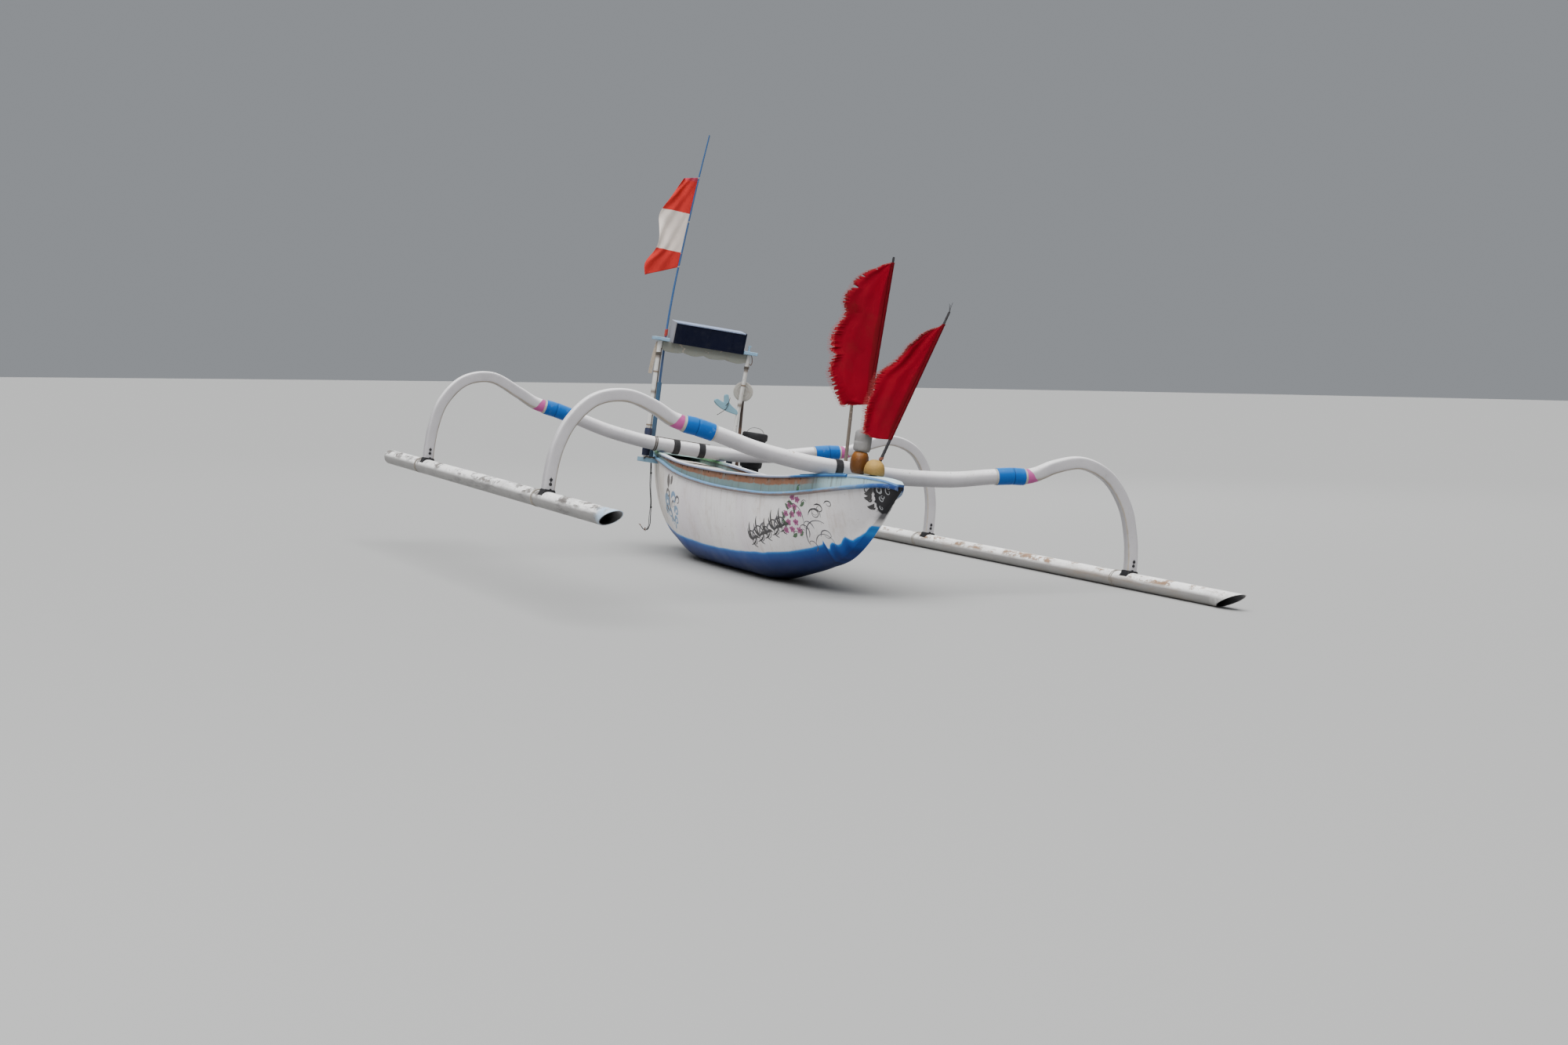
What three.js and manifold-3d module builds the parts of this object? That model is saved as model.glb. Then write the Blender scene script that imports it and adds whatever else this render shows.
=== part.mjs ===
// An outrigger canoe on the beach: a dugout hull with raised sides, two cross beams with arched arms,
// and two pipe floats. It is laid out in the boat's own frame, in millimetres: X forward, Y to port,
// Z up from the flat of the keel. Then it is heeled until keel and port float stand on one floor.
import * as THREE from "three";
import { mergeVertices } from "three/addons/utils/BufferGeometryUtils.js";
import Module from "manifold-3d";

const wasm = await Module();
wasm.setup();

// Driving dimensions
const SEAT = 0.3; // gap left between touching pieces
const LEAN_SEAT = 0.9; // the same under the flat end of a leaning post
const FLOAT_R = 54;
const FLOAT_SCARF = 300; // length of the slanting cut at the float's front
const FLOAT_BORE = 430; // open depth behind the float's tip
const KEEL_HALF = 35; // half width of the flat of the keel
const HULL_WALL = 26;
const HULL_FLOOR = 34;
const WELL_AFT = -1500; // the open well between the end blocks
const WELL_FORE = 1450;
const RAIL_THICK = 16;
const RAIL_WIDE = 46;
const RAIL_OUT = 12; // how far the cap rail stands past the hull's side
const BEAM_X = { front: 1650, rear: -1650 };
const SLEEVE_Y = 1095; // where a beam meets its arm
const SLEEVE = { in: 122, out: 86 }; // its length on the beam and on the arm
const FOOT_PAD = 12; // pad between a float and an arm
const POST_X = -1728;
const CROSSBOARD_Z = { low: 628, high: 662 };
const POST_TOP = 1545;

// The floats: middle off the centreline and over the keel at mid length, how much each spreads and
// drops per millimetre forward, and its ends. The port float runs true to the floor it lies on.
const PORT_SPREAD = 0.0097;
const PORT_REACH = 2036 - KEEL_HALF;
const PORT_Z = 348.8;
const HEEL = Math.atan2(PORT_Z, PORT_REACH) - Math.asin(FLOAT_R / Math.hypot(PORT_Z, PORT_REACH));
const FLOATS = {
  port: {
    y: PORT_REACH + KEEL_HALF,
    z: PORT_Z,
    spread: PORT_SPREAD,
    drop: -PORT_SPREAD * Math.tan(HEEL),
    stern: -3000,
    tip: 3128,
  },
  starboard: { y: 1980, z: 345, spread: -0.0018, drop: 0.0076, stern: -2900, tip: 3175 },
};

function floatAt(side, x) {
  const { y, z, spread, drop } = FLOATS[side];
  return [x, y + spread * x, z - drop * x];
}

// Hull lines by station: height of the keel, half breadth at the sheer, height of the sheer,
// height of the rail's top, and how straight the side runs from keel to sheer (0 is round)
const HULL_LINES = [
  { x: -2420, keel: 655, half: 16, sheer: 708, rail: 745, vee: 0.7 },
  { x: -2300, keel: 552, half: 68, sheer: 704, rail: 745, vee: 0.7 },
  { x: -2120, keel: 335, half: 138, sheer: 694, rail: 737, vee: 0.65 },
  { x: -1815, keel: 170, half: 216, sheer: 676, rail: 724, vee: 0.5 },
  { x: -1500, keel: 88, half: 270, sheer: 656, rail: 709, vee: 0.33 },
  { x: -913, keel: 0, half: 318, sheer: 592, rail: 676, vee: 0 },
  { x: -200, keel: 0, half: 336, sheer: 557, rail: 664, vee: 0 },
  { x: 553, keel: 0, half: 326, sheer: 554, rail: 670, vee: 0 },
  { x: 1000, keel: 70, half: 304, sheer: 567, rail: 686, vee: 0.1 },
  { x: 1431, keel: 154, half: 268, sheer: 606, rail: 718, vee: 0.28 },
  { x: 1804, keel: 256, half: 215, sheer: 658, rail: 752, vee: 0.58 },
  { x: 2056, keel: 412, half: 152, sheer: 698, rail: 770, vee: 0.8 },
  { x: 2275, keel: 589, half: 66, sheer: 732, rail: 770, vee: 0.8 },
  { x: 2440, keel: 711, half: 12, sheer: 735, rail: 752, vee: 0.8 },
];
const STATIONS = [
  -2420, -2300, -2200, -2120, -1980, -1815, -1660, -1500, -1250, -913, -550, -200, 200, 553, 800,
  1000, 1220, 1431, 1620, 1804, 1980, 2056, 2160, 2275, 2360, 2440,
];

// Half of a beam: distance off the centreline, height over the keel of the front beam and of the
// rear one, width, depth, and how square the section is (2 is round)
const BEAM_LINE = [
  { y: 0, front: 794, rear: 772, wide: 106, deep: 106, square: 2 },
  { y: 300, front: 797, rear: 776, wide: 106, deep: 106, square: 2 },
  { y: 450, front: 808, rear: 788, wide: 105, deep: 105, square: 2 },
  { y: 690, front: 836, rear: 820, wide: 103, deep: 103, square: 2 },
  { y: 958, front: 892, rear: 881, wide: 100, deep: 100, square: 2 },
  { y: 1095, front: 916, rear: 909, wide: 99, deep: 99, square: 2 },
  { y: 1190, front: 926, rear: 922, wide: 99, deep: 99, square: 2 },
];
const BEAM_GIRTH = { front: { wide: 1, deep: 1 }, rear: { wide: 0.89, deep: 0.96 } };

// The arms, each carved by hand to its own curve: [off the centreline, over the keel] for each corner
const ARM_LINE = [
  {
    wide: 86,
    deep: 95,
    square: 2.6,
    front: { port: [1258, 949], starboard: [1262, 942] },
    rear: { port: [1262, 940], starboard: [1262, 937] },
  },
  {
    wide: 76,
    deep: 88,
    square: 4,
    front: { port: [1390, 1019], starboard: [1390, 999] },
    rear: { port: [1390, 1006], starboard: [1390, 993] },
  },
  {
    wide: 74,
    deep: 84,
    square: 5,
    front: { port: [1582, 1070], starboard: [1579, 1040] },
    rear: { port: [1600, 1075], starboard: [1615, 1071] },
  },
  {
    wide: 72,
    deep: 82,
    square: 5,
    front: { port: [1787, 1004], starboard: [1765, 985] },
    rear: { port: [1800, 1018], starboard: [1802, 1015] },
  },
  {
    wide: 71,
    deep: 80,
    square: 5,
    front: { port: [1941, 834], starboard: [1898, 830] },
    rear: { port: [1937, 840], starboard: [1937, 838] },
  },
  {
    wide: 72,
    deep: 78,
    square: 5,
    front: { port: [2013, 654], starboard: [1960, 654] },
    rear: { port: [1998, 654], starboard: [1979, 654] },
  },
  {
    wide: 76,
    deep: 76,
    square: 5,
    front: { port: [2046, 494], starboard: [1977, 494] },
    rear: { port: [2016, 494], starboard: [1985, 494] },
  },
];

const PAINT = {
  hull: { color: 0xdcdcd6, roughness: 0.55 },
  strake: { color: 0x93aaa6, roughness: 0.6 },
  rail: { color: 0xd5dce2, roughness: 0.5 },
  blue: { color: 0x2f7fc4, roughness: 0.45 },
  deck: { color: 0xbcd8d8, roughness: 0.55 },
  pole: { color: 0xd9d8d2, roughness: 0.5 },
  sleeve: { color: 0x1d80c8, roughness: 0.4 },
  pipe: { color: 0xd2d2cf, roughness: 0.5 },
  black: { color: 0x17181b, roughness: 0.7 },
  navy: { color: 0x1b2c49, roughness: 0.6 },
  board: { color: 0x8b9498, roughness: 0.7 },
  flag: { color: 0xa50c14, roughness: 0.9 },
  orange: { color: 0xa65a18, roughness: 0.7 },
  tan: { color: 0xb49462, roughness: 0.8 },
  grey: { color: 0x8a8d90, roughness: 0.8 },
  bamboo: { color: 0x8a7a66, roughness: 0.8 },
  rope: { color: 0x2a2c30, roughness: 0.9 },
};

const boat = new THREE.Group();
boat.name = "boat";

function add(name, geometry, paint) {
  const mesh = new THREE.Mesh(geometry, new THREE.MeshStandardMaterial(PAINT[paint]));
  mesh.name = name;
  boat.add(mesh);
  return mesh;
}

// Geometry helpers
function bare(geometry) {
  const positions = geometry.index ? geometry.toNonIndexed() : geometry.clone();
  positions.deleteAttribute("normal");
  positions.deleteAttribute("uv");
  return mergeVertices(positions, 1e-3);
}

function solid(geometry) {
  const merged = bare(geometry);
  return new wasm.Manifold(
    new wasm.Mesh({
      numProp: 3,
      vertProperties: merged.attributes.position.array,
      triVerts: new Uint32Array(merged.index.array),
    }),
  );
}

function geometryOf(manifold) {
  const mesh = manifold.getMesh();
  const points = new Float32Array(mesh.numVert * 3);
  for (let i = 0; i < mesh.numVert; i++) {
    const start = i * mesh.numProp;
    points.set(mesh.vertProperties.subarray(start, start + 3), i * 3);
  }
  const geometry = new THREE.BufferGeometry();
  geometry.setAttribute("position", new THREE.BufferAttribute(points, 3));
  geometry.setIndex(new THREE.BufferAttribute(new Uint32Array(mesh.triVerts), 1));
  return geometry;
}

function cut(geometry, ...cutters) {
  let left = solid(geometry);
  for (const cutter of cutters) left = left.subtract(solid(cutter));
  return geometryOf(left);
}

function volume(points, index) {
  let six = 0;
  const [a, b, c] = [new THREE.Vector3(), new THREE.Vector3(), new THREE.Vector3()];
  for (let i = 0; i < index.length; i += 3) {
    a.fromArray(points, 3 * index[i]);
    b.fromArray(points, 3 * index[i + 1]);
    c.fromArray(points, 3 * index[i + 2]);
    six += a.dot(b.cross(c));
  }
  return six / 6;
}

// A closed skin over rings of equal count, each [x, y, z]; an end is closed by a fan from its middle
function loft(rings, closed = false) {
  const n = rings[0].length;
  const points = rings.flat(2);
  const index = [];
  const last = closed ? rings.length : rings.length - 1;
  for (let r = 0; r < last; r++) {
    const here = r * n;
    const next = ((r + 1) % rings.length) * n;
    for (let i = 0; i < n; i++) {
      const j = (i + 1) % n;
      index.push(here + i, next + i, next + j, here + i, next + j, here + j);
    }
  }
  if (!closed) {
    for (const [ring, back] of [
      [0, false],
      [rings.length - 1, true],
    ]) {
      const middle = [0, 1, 2].map((k) => rings[ring].reduce((s, p) => s + p[k], 0) / n);
      const centre = points.length / 3;
      points.push(...middle);
      for (let i = 0; i < n; i++) {
        const a = ring * n + i;
        const b = ring * n + ((i + 1) % n);
        if (back) index.push(centre, b, a);
        else index.push(centre, a, b);
      }
    }
  }
  if (volume(points, index) < 0) index.reverse();
  const geometry = new THREE.BufferGeometry();
  geometry.setAttribute("position", new THREE.Float32BufferAttribute(points, 3));
  geometry.setIndex(index);
  return geometry;
}

function mirrorY(geometry) {
  const flipped = bare(geometry);
  flipped.scale(1, -1, 1);
  const index = Array.from(flipped.index.array);
  index.reverse();
  flipped.setIndex(index);
  return flipped;
}

function block(size, centre) {
  return new THREE.BoxGeometry(...size).translate(...centre);
}

// A round bar between two points, with a radius at each end
function rod(from, to, radiusFrom, radiusTo, sides) {
  const start = new THREE.Vector3(...from);
  const along = new THREE.Vector3(...to).sub(start);
  const geometry = new THREE.CylinderGeometry(radiusTo, radiusFrom, along.length(), sides);
  geometry.translate(0, along.length() / 2, 0);
  const turn = new THREE.Quaternion().setFromUnitVectors(
    new THREE.Vector3(0, 1, 0),
    along.clone().normalize(),
  );
  return geometry.applyQuaternion(turn).translate(...from);
}

// A turned body standing at a point along an axis; its profile gives radius and height from the foot
function turned(profile, foot, axis, sides) {
  const points = profile.map(({ r, h }) => new THREE.Vector2(r, h));
  const turn = new THREE.Quaternion().setFromUnitVectors(
    new THREE.Vector3(0, 1, 0),
    new THREE.Vector3(...axis).normalize(),
  );
  return new THREE.LatheGeometry(points, sides).applyQuaternion(turn).translate(...foot);
}

// A plate of the given thickness from an outline in [across, up], turned about the vertical
function plate(outline, thick, place, turnZ = 0) {
  const shape = new THREE.Shape(outline.map(([across, up]) => new THREE.Vector2(across, up)));
  const geometry = new THREE.ExtrudeGeometry(shape, { depth: thick, bevelEnabled: false });
  geometry.translate(0, 0, -thick / 2);
  geometry.rotateX(Math.PI / 2).rotateZ(Math.PI / 2 + turnZ);
  return geometry.translate(...place);
}

// Rows of a table joined by smooth cubics over the given measure
function smooth(rows, measure, columns) {
  const at = new THREE.CubicInterpolant(
    rows.map(measure),
    rows.flatMap((row) => columns.map((column) => row[column])),
    columns.length,
  );
  return (s) => {
    const values = at.evaluate(s);
    return Object.fromEntries(columns.map((column, i) => [column, values[i]]));
  };
}

// Hull
const HULL_COLUMNS = ["keel", "half", "sheer", "rail", "vee"];
const fairLines = smooth(HULL_LINES, (row) => row.x, HULL_COLUMNS);
const FAIRED = STATIONS.map((x) => ({ x, ...fairLines(x) }));

// The faired lines run straight from station to station, so that all strips fit one another
function hullAt(x) {
  const next = Math.max(1, FAIRED.findIndex((row) => row.x >= x));
  const [a, b] = [FAIRED[next - 1], FAIRED[next]];
  const t = (x - a.x) / (b.x - a.x);
  const values = HULL_COLUMNS.map((column) => [column, a[column] + (b[column] - a[column]) * t]);
  return { x, ...Object.fromEntries(values) };
}

function stationsBetween(from, to) {
  return [from, ...STATIONS.filter((x) => x > from && x < to), to];
}

const SECTION_STEPS = 7;

// One hull section: from the starboard sheer round the keel to the port sheer
function hullRing(x, { inset = 0, lift = 0, over = 0 }) {
  const { keel, half, sheer, vee } = hullAt(x);
  const bottom = Math.max(keel, 0) + lift;
  const flat = Math.min(KEEL_HALF, half * 0.22) * (inset ? 0.6 : 1);
  const side = [];
  for (let i = 0; i <= SECTION_STEPS; i++) {
    const t = i / SECTION_STEPS;
    const angle = t * (Math.PI / 2);
    const out = (1 - vee) * Math.sin(angle) + vee * t;
    const up = (1 - vee) * (1 - Math.cos(angle)) + vee * t;
    side.push([flat + (half - inset - flat) * out, bottom + (sheer - bottom) * up]);
  }
  if (over) side.push([half - inset, sheer + over]);
  const port = side.map(([y, z]) => [x, y, z]);
  const starboard = side.map(([y, z]) => [x, -y, z]).reverse();
  return [...starboard, ...port];
}

const CROSSBOARD = { fore: -1697, aft: -1870, starboard: -345, port: 640 };

// The open well inside the hull, drawn in from its walls by a margin
function wellSpace(margin) {
  const stations = stationsBetween(WELL_AFT, WELL_FORE);
  const inner = { inset: HULL_WALL + margin, lift: HULL_FLOOR, over: 60 };
  return loft(stations.map((x) => hullRing(x, inner)));
}

// The space that the crossboard passes through, open above it by the given height
function crossboardSpace(above = 0) {
  const { fore, aft } = CROSSBOARD;
  const low = CROSSBOARD_Z.low - SEAT;
  const high = CROSSBOARD_Z.high + SEAT + above;
  return block([fore - aft + 2 * SEAT, 1600, high - low], [(fore + aft) / 2, 0, (high + low) / 2]);
}

function addHull() {
  const outer = loft(STATIONS.map((x) => hullRing(x, {})));
  const well = wellSpace(0);
  const notch = crossboardSpace(60);
  add("hull_shell", cut(outer, well, notch), "hull");
}

// A strip along the side: its section is [out from the half breadth, height], by station. It is
// notched where the crossboard passes.
function sideStrip(name, paint, fromX, toX, section) {
  const rings = stationsBetween(fromX, toX).map((x) => {
    const lines = hullAt(x);
    return section(lines).map(([out, z]) => [x, lines.half + out, z]);
  });
  const port = cut(loft(rings), crossboardSpace());
  add(`${name}_port`, port, paint);
  add(`${name}_starboard`, mirrorY(port), paint);
}

// A strip in two lengths that butt at a joint
function jointedStrip(name, paint, { aft, joint, fore }, section) {
  sideStrip(`${name}_aft`, paint, aft, joint - SEAT, section);
  sideStrip(`${name}_fore`, paint, joint, fore, section);
}

const WASHSTRAKE_RUN = { aft: -2380, joint: -140, fore: 2330 };
const RUB_RAIL_RUN = { aft: -2400, fore: 2430, fade: 260 }; // it thins out towards its ends
const CAP_RAIL_RUN = { aft: -2395, joint: 260, fore: 1972 };

function addSides() {
  jointedStrip("washstrake", "strake", WASHSTRAKE_RUN, ({ sheer, rail }) => [
    [-20, sheer + SEAT],
    [-2, sheer + SEAT],
    [-2, rail - RAIL_THICK - SEAT],
    [-20, rail - RAIL_THICK - SEAT],
  ]);
  const { aft, fore, fade } = RUB_RAIL_RUN;
  sideStrip("rub_rail", "blue", aft, fore, ({ x, sheer, rail }) => {
    const top = Math.min(sheer + 9, rail - RAIL_THICK - SEAT);
    const full = Math.min(1, 0.3 + Math.min(x - aft, fore - x) / fade);
    return [
      [SEAT, top - 26],
      [16 * full, top - 26],
      [23 * full, top - 17],
      [23 * full, top - 7],
      [14 * full, top],
      [SEAT, top],
    ];
  });
  jointedStrip("cap_rail", "rail", CAP_RAIL_RUN, ({ half, rail }) => {
    const inner = Math.max(RAIL_OUT - RAIL_WIDE, 1 - half);
    return [
      [RAIL_OUT, rail - RAIL_THICK],
      [RAIL_OUT, rail - 4],
      [RAIL_OUT - 4, rail],
      [inner, rail],
      [inner, rail - RAIL_THICK],
    ];
  });
}

// A deck plate: between the rails up to the break, over the raised sides past it
function deckRing(x, halfWide, crown) {
  const { rail } = hullAt(x);
  const low = rail - RAIL_THICK;
  return [
    [x, -halfWide, low],
    [x, -halfWide, rail - 1],
    [x, -halfWide * 0.5, rail + crown * 0.75],
    [x, 0, rail + crown],
    [x, halfWide * 0.5, rail + crown * 0.75],
    [x, halfWide, rail - 1],
    [x, halfWide, low],
  ];
}

const DECK_BREAK = 1980; // forward of it the foredeck lies over the raised sides
const DECK_CROWN = 12;
const DECK_OVER = 5; // how far the foredeck stands past the raised sides
const FOREDECK = { aft: 1480, fore: 2438 };
const STERN_DECK = { aft: -2320, fore: -1905 };

// Height of the foredeck under a round foot
function deckUnder(x, y, radius) {
  const spots = [[x, y]];
  for (let i = 0; i < 12; i++) {
    const angle = (Math.PI * i) / 6;
    spots.push([x + radius * Math.cos(angle), y + radius * Math.sin(angle)]);
  }
  const heights = spots.map(([px, py]) => {
    const { half, rail } = hullAt(px);
    if (px < DECK_BREAK) return rail;
    const out = Math.abs(py) / (half + DECK_OVER);
    const camber = out < 0.5 ? 1 - 0.5 * out : 1.5 * (1 - out);
    return rail + crownAt(px) * camber;
  });
  return Math.max(...heights);
}

// The camber fades out over the last of the foredeck
function crownAt(x) {
  const fade = 300;
  return DECK_CROWN * Math.min(1, (FOREDECK.fore + 7 - x) / fade);
}

function addDecks() {
  const inside = (x) => Math.max(hullAt(x).half + RAIL_OUT - RAIL_WIDE - 1, 6);
  const over = (x) => hullAt(x).half + DECK_OVER;
  const narrow = stationsBetween(FOREDECK.aft, DECK_BREAK - 6);
  const broad = stationsBetween(DECK_BREAK, FOREDECK.fore);
  const foredeck = [
    ...narrow.map((x) => deckRing(x, inside(x), 0)),
    ...broad.map((x) => deckRing(x, over(x), crownAt(x))),
  ];
  add("foredeck", loft(foredeck), "deck");
  const aft = stationsBetween(STERN_DECK.aft, STERN_DECK.fore);
  add("stern_deck", loft(aft.map((x) => deckRing(x, inside(x), 0))), "deck");
}

const THWART = { wide: 150, thick: 22, drop: 14 };
const THWARTS = [
  { name: "thwart_fore", x: 620 },
  { name: "thwart_aft", x: -620 },
];

function addThwarts() {
  const space = solid(wellSpace(SEAT));
  for (const { name, x } of THWARTS) {
    const middle = hullAt(x).sheer - THWART.drop - THWART.thick / 2;
    const board = solid(block([THWART.wide, 900, THWART.thick], [x, 0, middle]));
    add(name, geometryOf(board.intersect(space)), "board");
  }
}

// Beams, arms and sleeves
const LINE_COLUMNS = ["y", "z", "wide", "deep", "square"];

// One side of a beam with its arm, by arc length from mid breadth to the float
function beamLine(end, side) {
  const beam = BEAM_LINE.map((row) => ({ ...row, z: row[end] }));
  const arm = ARM_LINE.map((row) => ({ ...row, y: row[end][side][0], z: row[end][side][1] }));
  const [, y, z] = floatAt(side, BEAM_X[end]);
  const foot = { ...arm[arm.length - 1], y, z: z + FLOAT_R + FOOT_PAD + SEAT };
  let s = 0;
  const rows = [...beam, ...arm, foot].map((row, i, all) => {
    if (i) s += Math.hypot(row.y - all[i - 1].y, row.z - all[i - 1].z);
    return { ...row, s };
  });
  const joint = rows.find((row) => row.y === SLEEVE_Y).s;
  return { run: s, joint, at: smooth(rows, (row) => row.s, LINE_COLUMNS) };
}

const SIDES = ["port", "starboard"];
const ENDS = ["front", "rear"];
const LINES = Object.fromEntries(
  ENDS.map((end) => [end, Object.fromEntries(SIDES.map((side) => [side, beamLine(end, side)]))]),
);

const BEAM_SIDES = 16;

// One section of a beam line at arc length s, grown by a margin
function beamRing(end, side, s, grow = 0) {
  const { at, run } = LINES[end][side];
  const here = at(s);
  const step = 2;
  const before = at(Math.max(s - step, 0));
  const after = at(Math.min(s + step, run));
  const slope = s < run ? Math.atan2(after.z - before.z, after.y - before.y) : -Math.PI / 2;
  const a = (here.wide * BEAM_GIRTH[end].wide) / 2 + grow;
  const b = (here.deep * BEAM_GIRTH[end].deep) / 2 + grow;
  const power = 2 / here.square;
  const mirror = side === "port" ? 1 : -1;
  const ring = [];
  for (let i = 0; i < BEAM_SIDES; i++) {
    const angle = (2 * Math.PI * (i + 0.5)) / BEAM_SIDES;
    const across = a * Math.sign(Math.cos(angle)) * Math.abs(Math.cos(angle)) ** power;
    const up = b * Math.sign(Math.sin(angle)) * Math.abs(Math.sin(angle)) ** power;
    ring.push([
      BEAM_X[end] + across,
      mirror * (here.y - up * Math.sin(slope)),
      here.z + up * Math.cos(slope),
    ]);
  }
  return ring;
}

function between(from, to, count) {
  return Array.from({ length: count + 1 }, (_, i) => from + ((to - from) * i) / count);
}

function tubeRings(rings, bores) {
  return loft([...rings, ...bores.reverse()], true);
}

// A band of the given thickness round a beam line
function band(end, side, at, thick) {
  return tubeRings(
    at.map((s) => beamRing(end, side, s, SEAT + thick)),
    at.map((s) => beamRing(end, side, s, SEAT)),
  );
}

// The stations of beam, sleeve and arm are shared, so that what goes round a bar runs beside it
const SLEEVE_THICK = 6;
const JOINT_GAP = 0.6; // half the gap between a beam's end and its arm
const SLEEVE_STEPS = [-SLEEVE.in, -SLEEVE.in / 2, -JOINT_GAP, JOINT_GAP, SLEEVE.out / 2, SLEEVE.out];

function addBeams() {
  for (const end of ENDS) {
    const { joint } = LINES[end].port;
    const stations = SLEEVE_STEPS.map((step) => joint + step);
    const inSleeve = stations.filter((s) => s < joint);
    const half = [0, ...between(120, inSleeve[0] - 60, 9), ...inSleeve];
    const rings = [
      ...half.slice(1).reverse().map((s) => beamRing(end, "starboard", s)),
      ...half.map((s) => beamRing(end, "port", s)),
    ];
    add(`${end}_beam`, loft(rings), "pole");
    for (const side of SIDES) {
      const { run } = LINES[end][side];
      const past = stations.filter((s) => s > joint);
      const along = [...past, ...between(joint + SLEEVE.out + 30, run, 20)];
      add(`${end}_arm_${side}`, loft(along.map((s) => beamRing(end, side, s))), "pole");
      add(`${end}_sleeve_${side}`, band(end, side, stations, SLEEVE_THICK), "sleeve");
    }
  }
}

const CHOCK_HALF = 35;

// Packing under the rear beam, on top of each rail
function addRearPacking() {
  const x = BEAM_X.rear;
  const low = hullAt(x - CHOCK_HALF).rail + SEAT;
  const middle = hullAt(x).half + RAIL_OUT - RAIL_WIDE / 2;
  const underside = beamRing("rear", "port", middle - RAIL_WIDE / 2).map(([, , z]) => z);
  const high = Math.min(...underside) - SEAT;
  const chock = block([2 * CHOCK_HALF, RAIL_WIDE, high - low], [x, middle, (high + low) / 2]);
  add("rear_packing_port", chock, "blue");
  add("rear_packing_starboard", mirrorY(chock), "blue");
}

const FLOAT_WALL = 7;
const PAD = { long: 104, wide: 88, deep: 50 };

// A round bar along a float's line
function alongFloat(side, from, to, radius, sides) {
  return rod(floatAt(side, from), floatAt(side, to), radius, radius, sides);
}

function floatPipe(side) {
  const { stern, tip } = FLOATS[side];
  const [start, end] = [floatAt(side, stern), floatAt(side, tip)];
  const axis = end.map((value, i) => value - start[i]);
  const length = Math.hypot(...axis);
  const profile = [
    { r: 0, h: 0 },
    { r: FLOAT_R - 10, h: 0 },
    { r: FLOAT_R, h: 14 },
    { r: FLOAT_R, h: length },
    { r: 0, h: length },
  ];
  const slant = Math.atan2(2 * FLOAT_R, FLOAT_SCARF);
  const cutter = new THREE.BoxGeometry(800, 400, 400)
    .translate(0, 0, -200)
    .rotateY(-slant)
    .translate(tip, end[1], end[2] + FLOAT_R);
  const bore = alongFloat(side, tip - FLOAT_BORE, tip + 50, FLOAT_R - FLOAT_WALL, 24);
  return cut(turned(profile, start, axis, 24), cutter, bore);
}

function footPad(side, end) {
  const x = BEAM_X[end];
  const around = alongFloat(side, x - PAD.long, x + PAD.long, FLOAT_R + SEAT, 32);
  const [, y, z] = floatAt(side, x);
  const middle = z + FLOAT_R + FOOT_PAD - PAD.deep / 2;
  return cut(block([PAD.long, PAD.wide, PAD.deep], [x, y, middle]), around);
}

function addFloats() {
  for (const side of SIDES) {
    const place = (geometry) => (side === "port" ? geometry : mirrorY(geometry));
    add(`float_${side}`, place(floatPipe(side)), "pipe");
    for (const end of ENDS) add(`${end}_foot_pad_${side}`, place(footPad(side, end)), "black");
  }
}

// Posts at the rear beam, and what they carry
const POSTS = {
  starboard: { foot: -329, top: -351, radius: 21, cap: [-402, -288] },
  port: { foot: 334, top: 364, radius: 16, cap: [310, 418] },
};
const POST_CAP = { long: 96, thick: 24 };
const CLAMP = { lift: 12, top: 886, thick: 9 };

function addPosts() {
  const foot = CROSSBOARD_Z.high + LEAN_SEAT;
  for (const [side, { foot: y0, top: y1, radius, cap }] of Object.entries(POSTS)) {
    const at = (z) => [POST_X, y0 + ((y1 - y0) * (z - foot)) / (POST_TOP - foot), z];
    const bar = (low, high, size) => rod(at(low), at(high), size, size, 14);
    add(`post_${side}`, bar(foot, POST_TOP, radius), "pole");
    const hole = bar(foot - 20, CLAMP.top + 54, radius + SEAT);
    const clamp = bar(foot + CLAMP.lift, CLAMP.top, radius + CLAMP.thick);
    add(`post_clamp_${side}`, cut(clamp, hole), "navy");
    const [low, high] = cap;
    const middle = POST_TOP + LEAN_SEAT + POST_CAP.thick / 2;
    const size = [POST_CAP.long, high - low, POST_CAP.thick];
    add(`post_cap_${side}`, block(size, [POST_X, (low + high) / 2, middle]), "deck");
  }
}

// The scalloped board between the posts
const SCALLOPS = { count: 4, shallow: 62, deep: 77, thick: 16 };

function addScallopedBoard() {
  const low = POSTS.starboard.top + POSTS.starboard.radius + 2;
  const high = POSTS.port.top - POSTS.port.radius - 3;
  const top = POST_TOP - 1;
  const step = (high - low) / SCALLOPS.count;
  const shape = new THREE.Shape();
  shape.moveTo(low, top);
  shape.lineTo(low, top - SCALLOPS.shallow);
  for (let i = 0; i < SCALLOPS.count; i++) {
    const from = low + i * step;
    const bottom = 2 * SCALLOPS.deep - SCALLOPS.shallow;
    shape.quadraticCurveTo(from + step / 2, top - bottom, from + step, top - SCALLOPS.shallow);
  }
  shape.lineTo(high, top);
  const board = new THREE.ExtrudeGeometry(shape, {
    depth: SCALLOPS.thick,
    bevelEnabled: false,
    curveSegments: 6,
  });
  board.translate(0, 0, -SCALLOPS.thick / 2).rotateX(Math.PI / 2).rotateZ(Math.PI / 2);
  add("scalloped_board", board.translate(POST_X, 0, 0), "board");
}

// The box, tipped forward over the scalloped board's front edge
const BOX = { wide: 572, deep: 124, tall: 160, tip: THREE.MathUtils.degToRad(9), aft: 30, port: 19 };

function addBox() {
  const box = block([BOX.deep, BOX.wide, BOX.tall], [-BOX.aft, 0, BOX.tall / 2]);
  box.rotateY(BOX.tip);
  const edge = POST_X + SCALLOPS.thick / 2;
  add("box", box.translate(edge, BOX.port, POST_TOP - 1 + SEAT), "navy");
}

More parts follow.
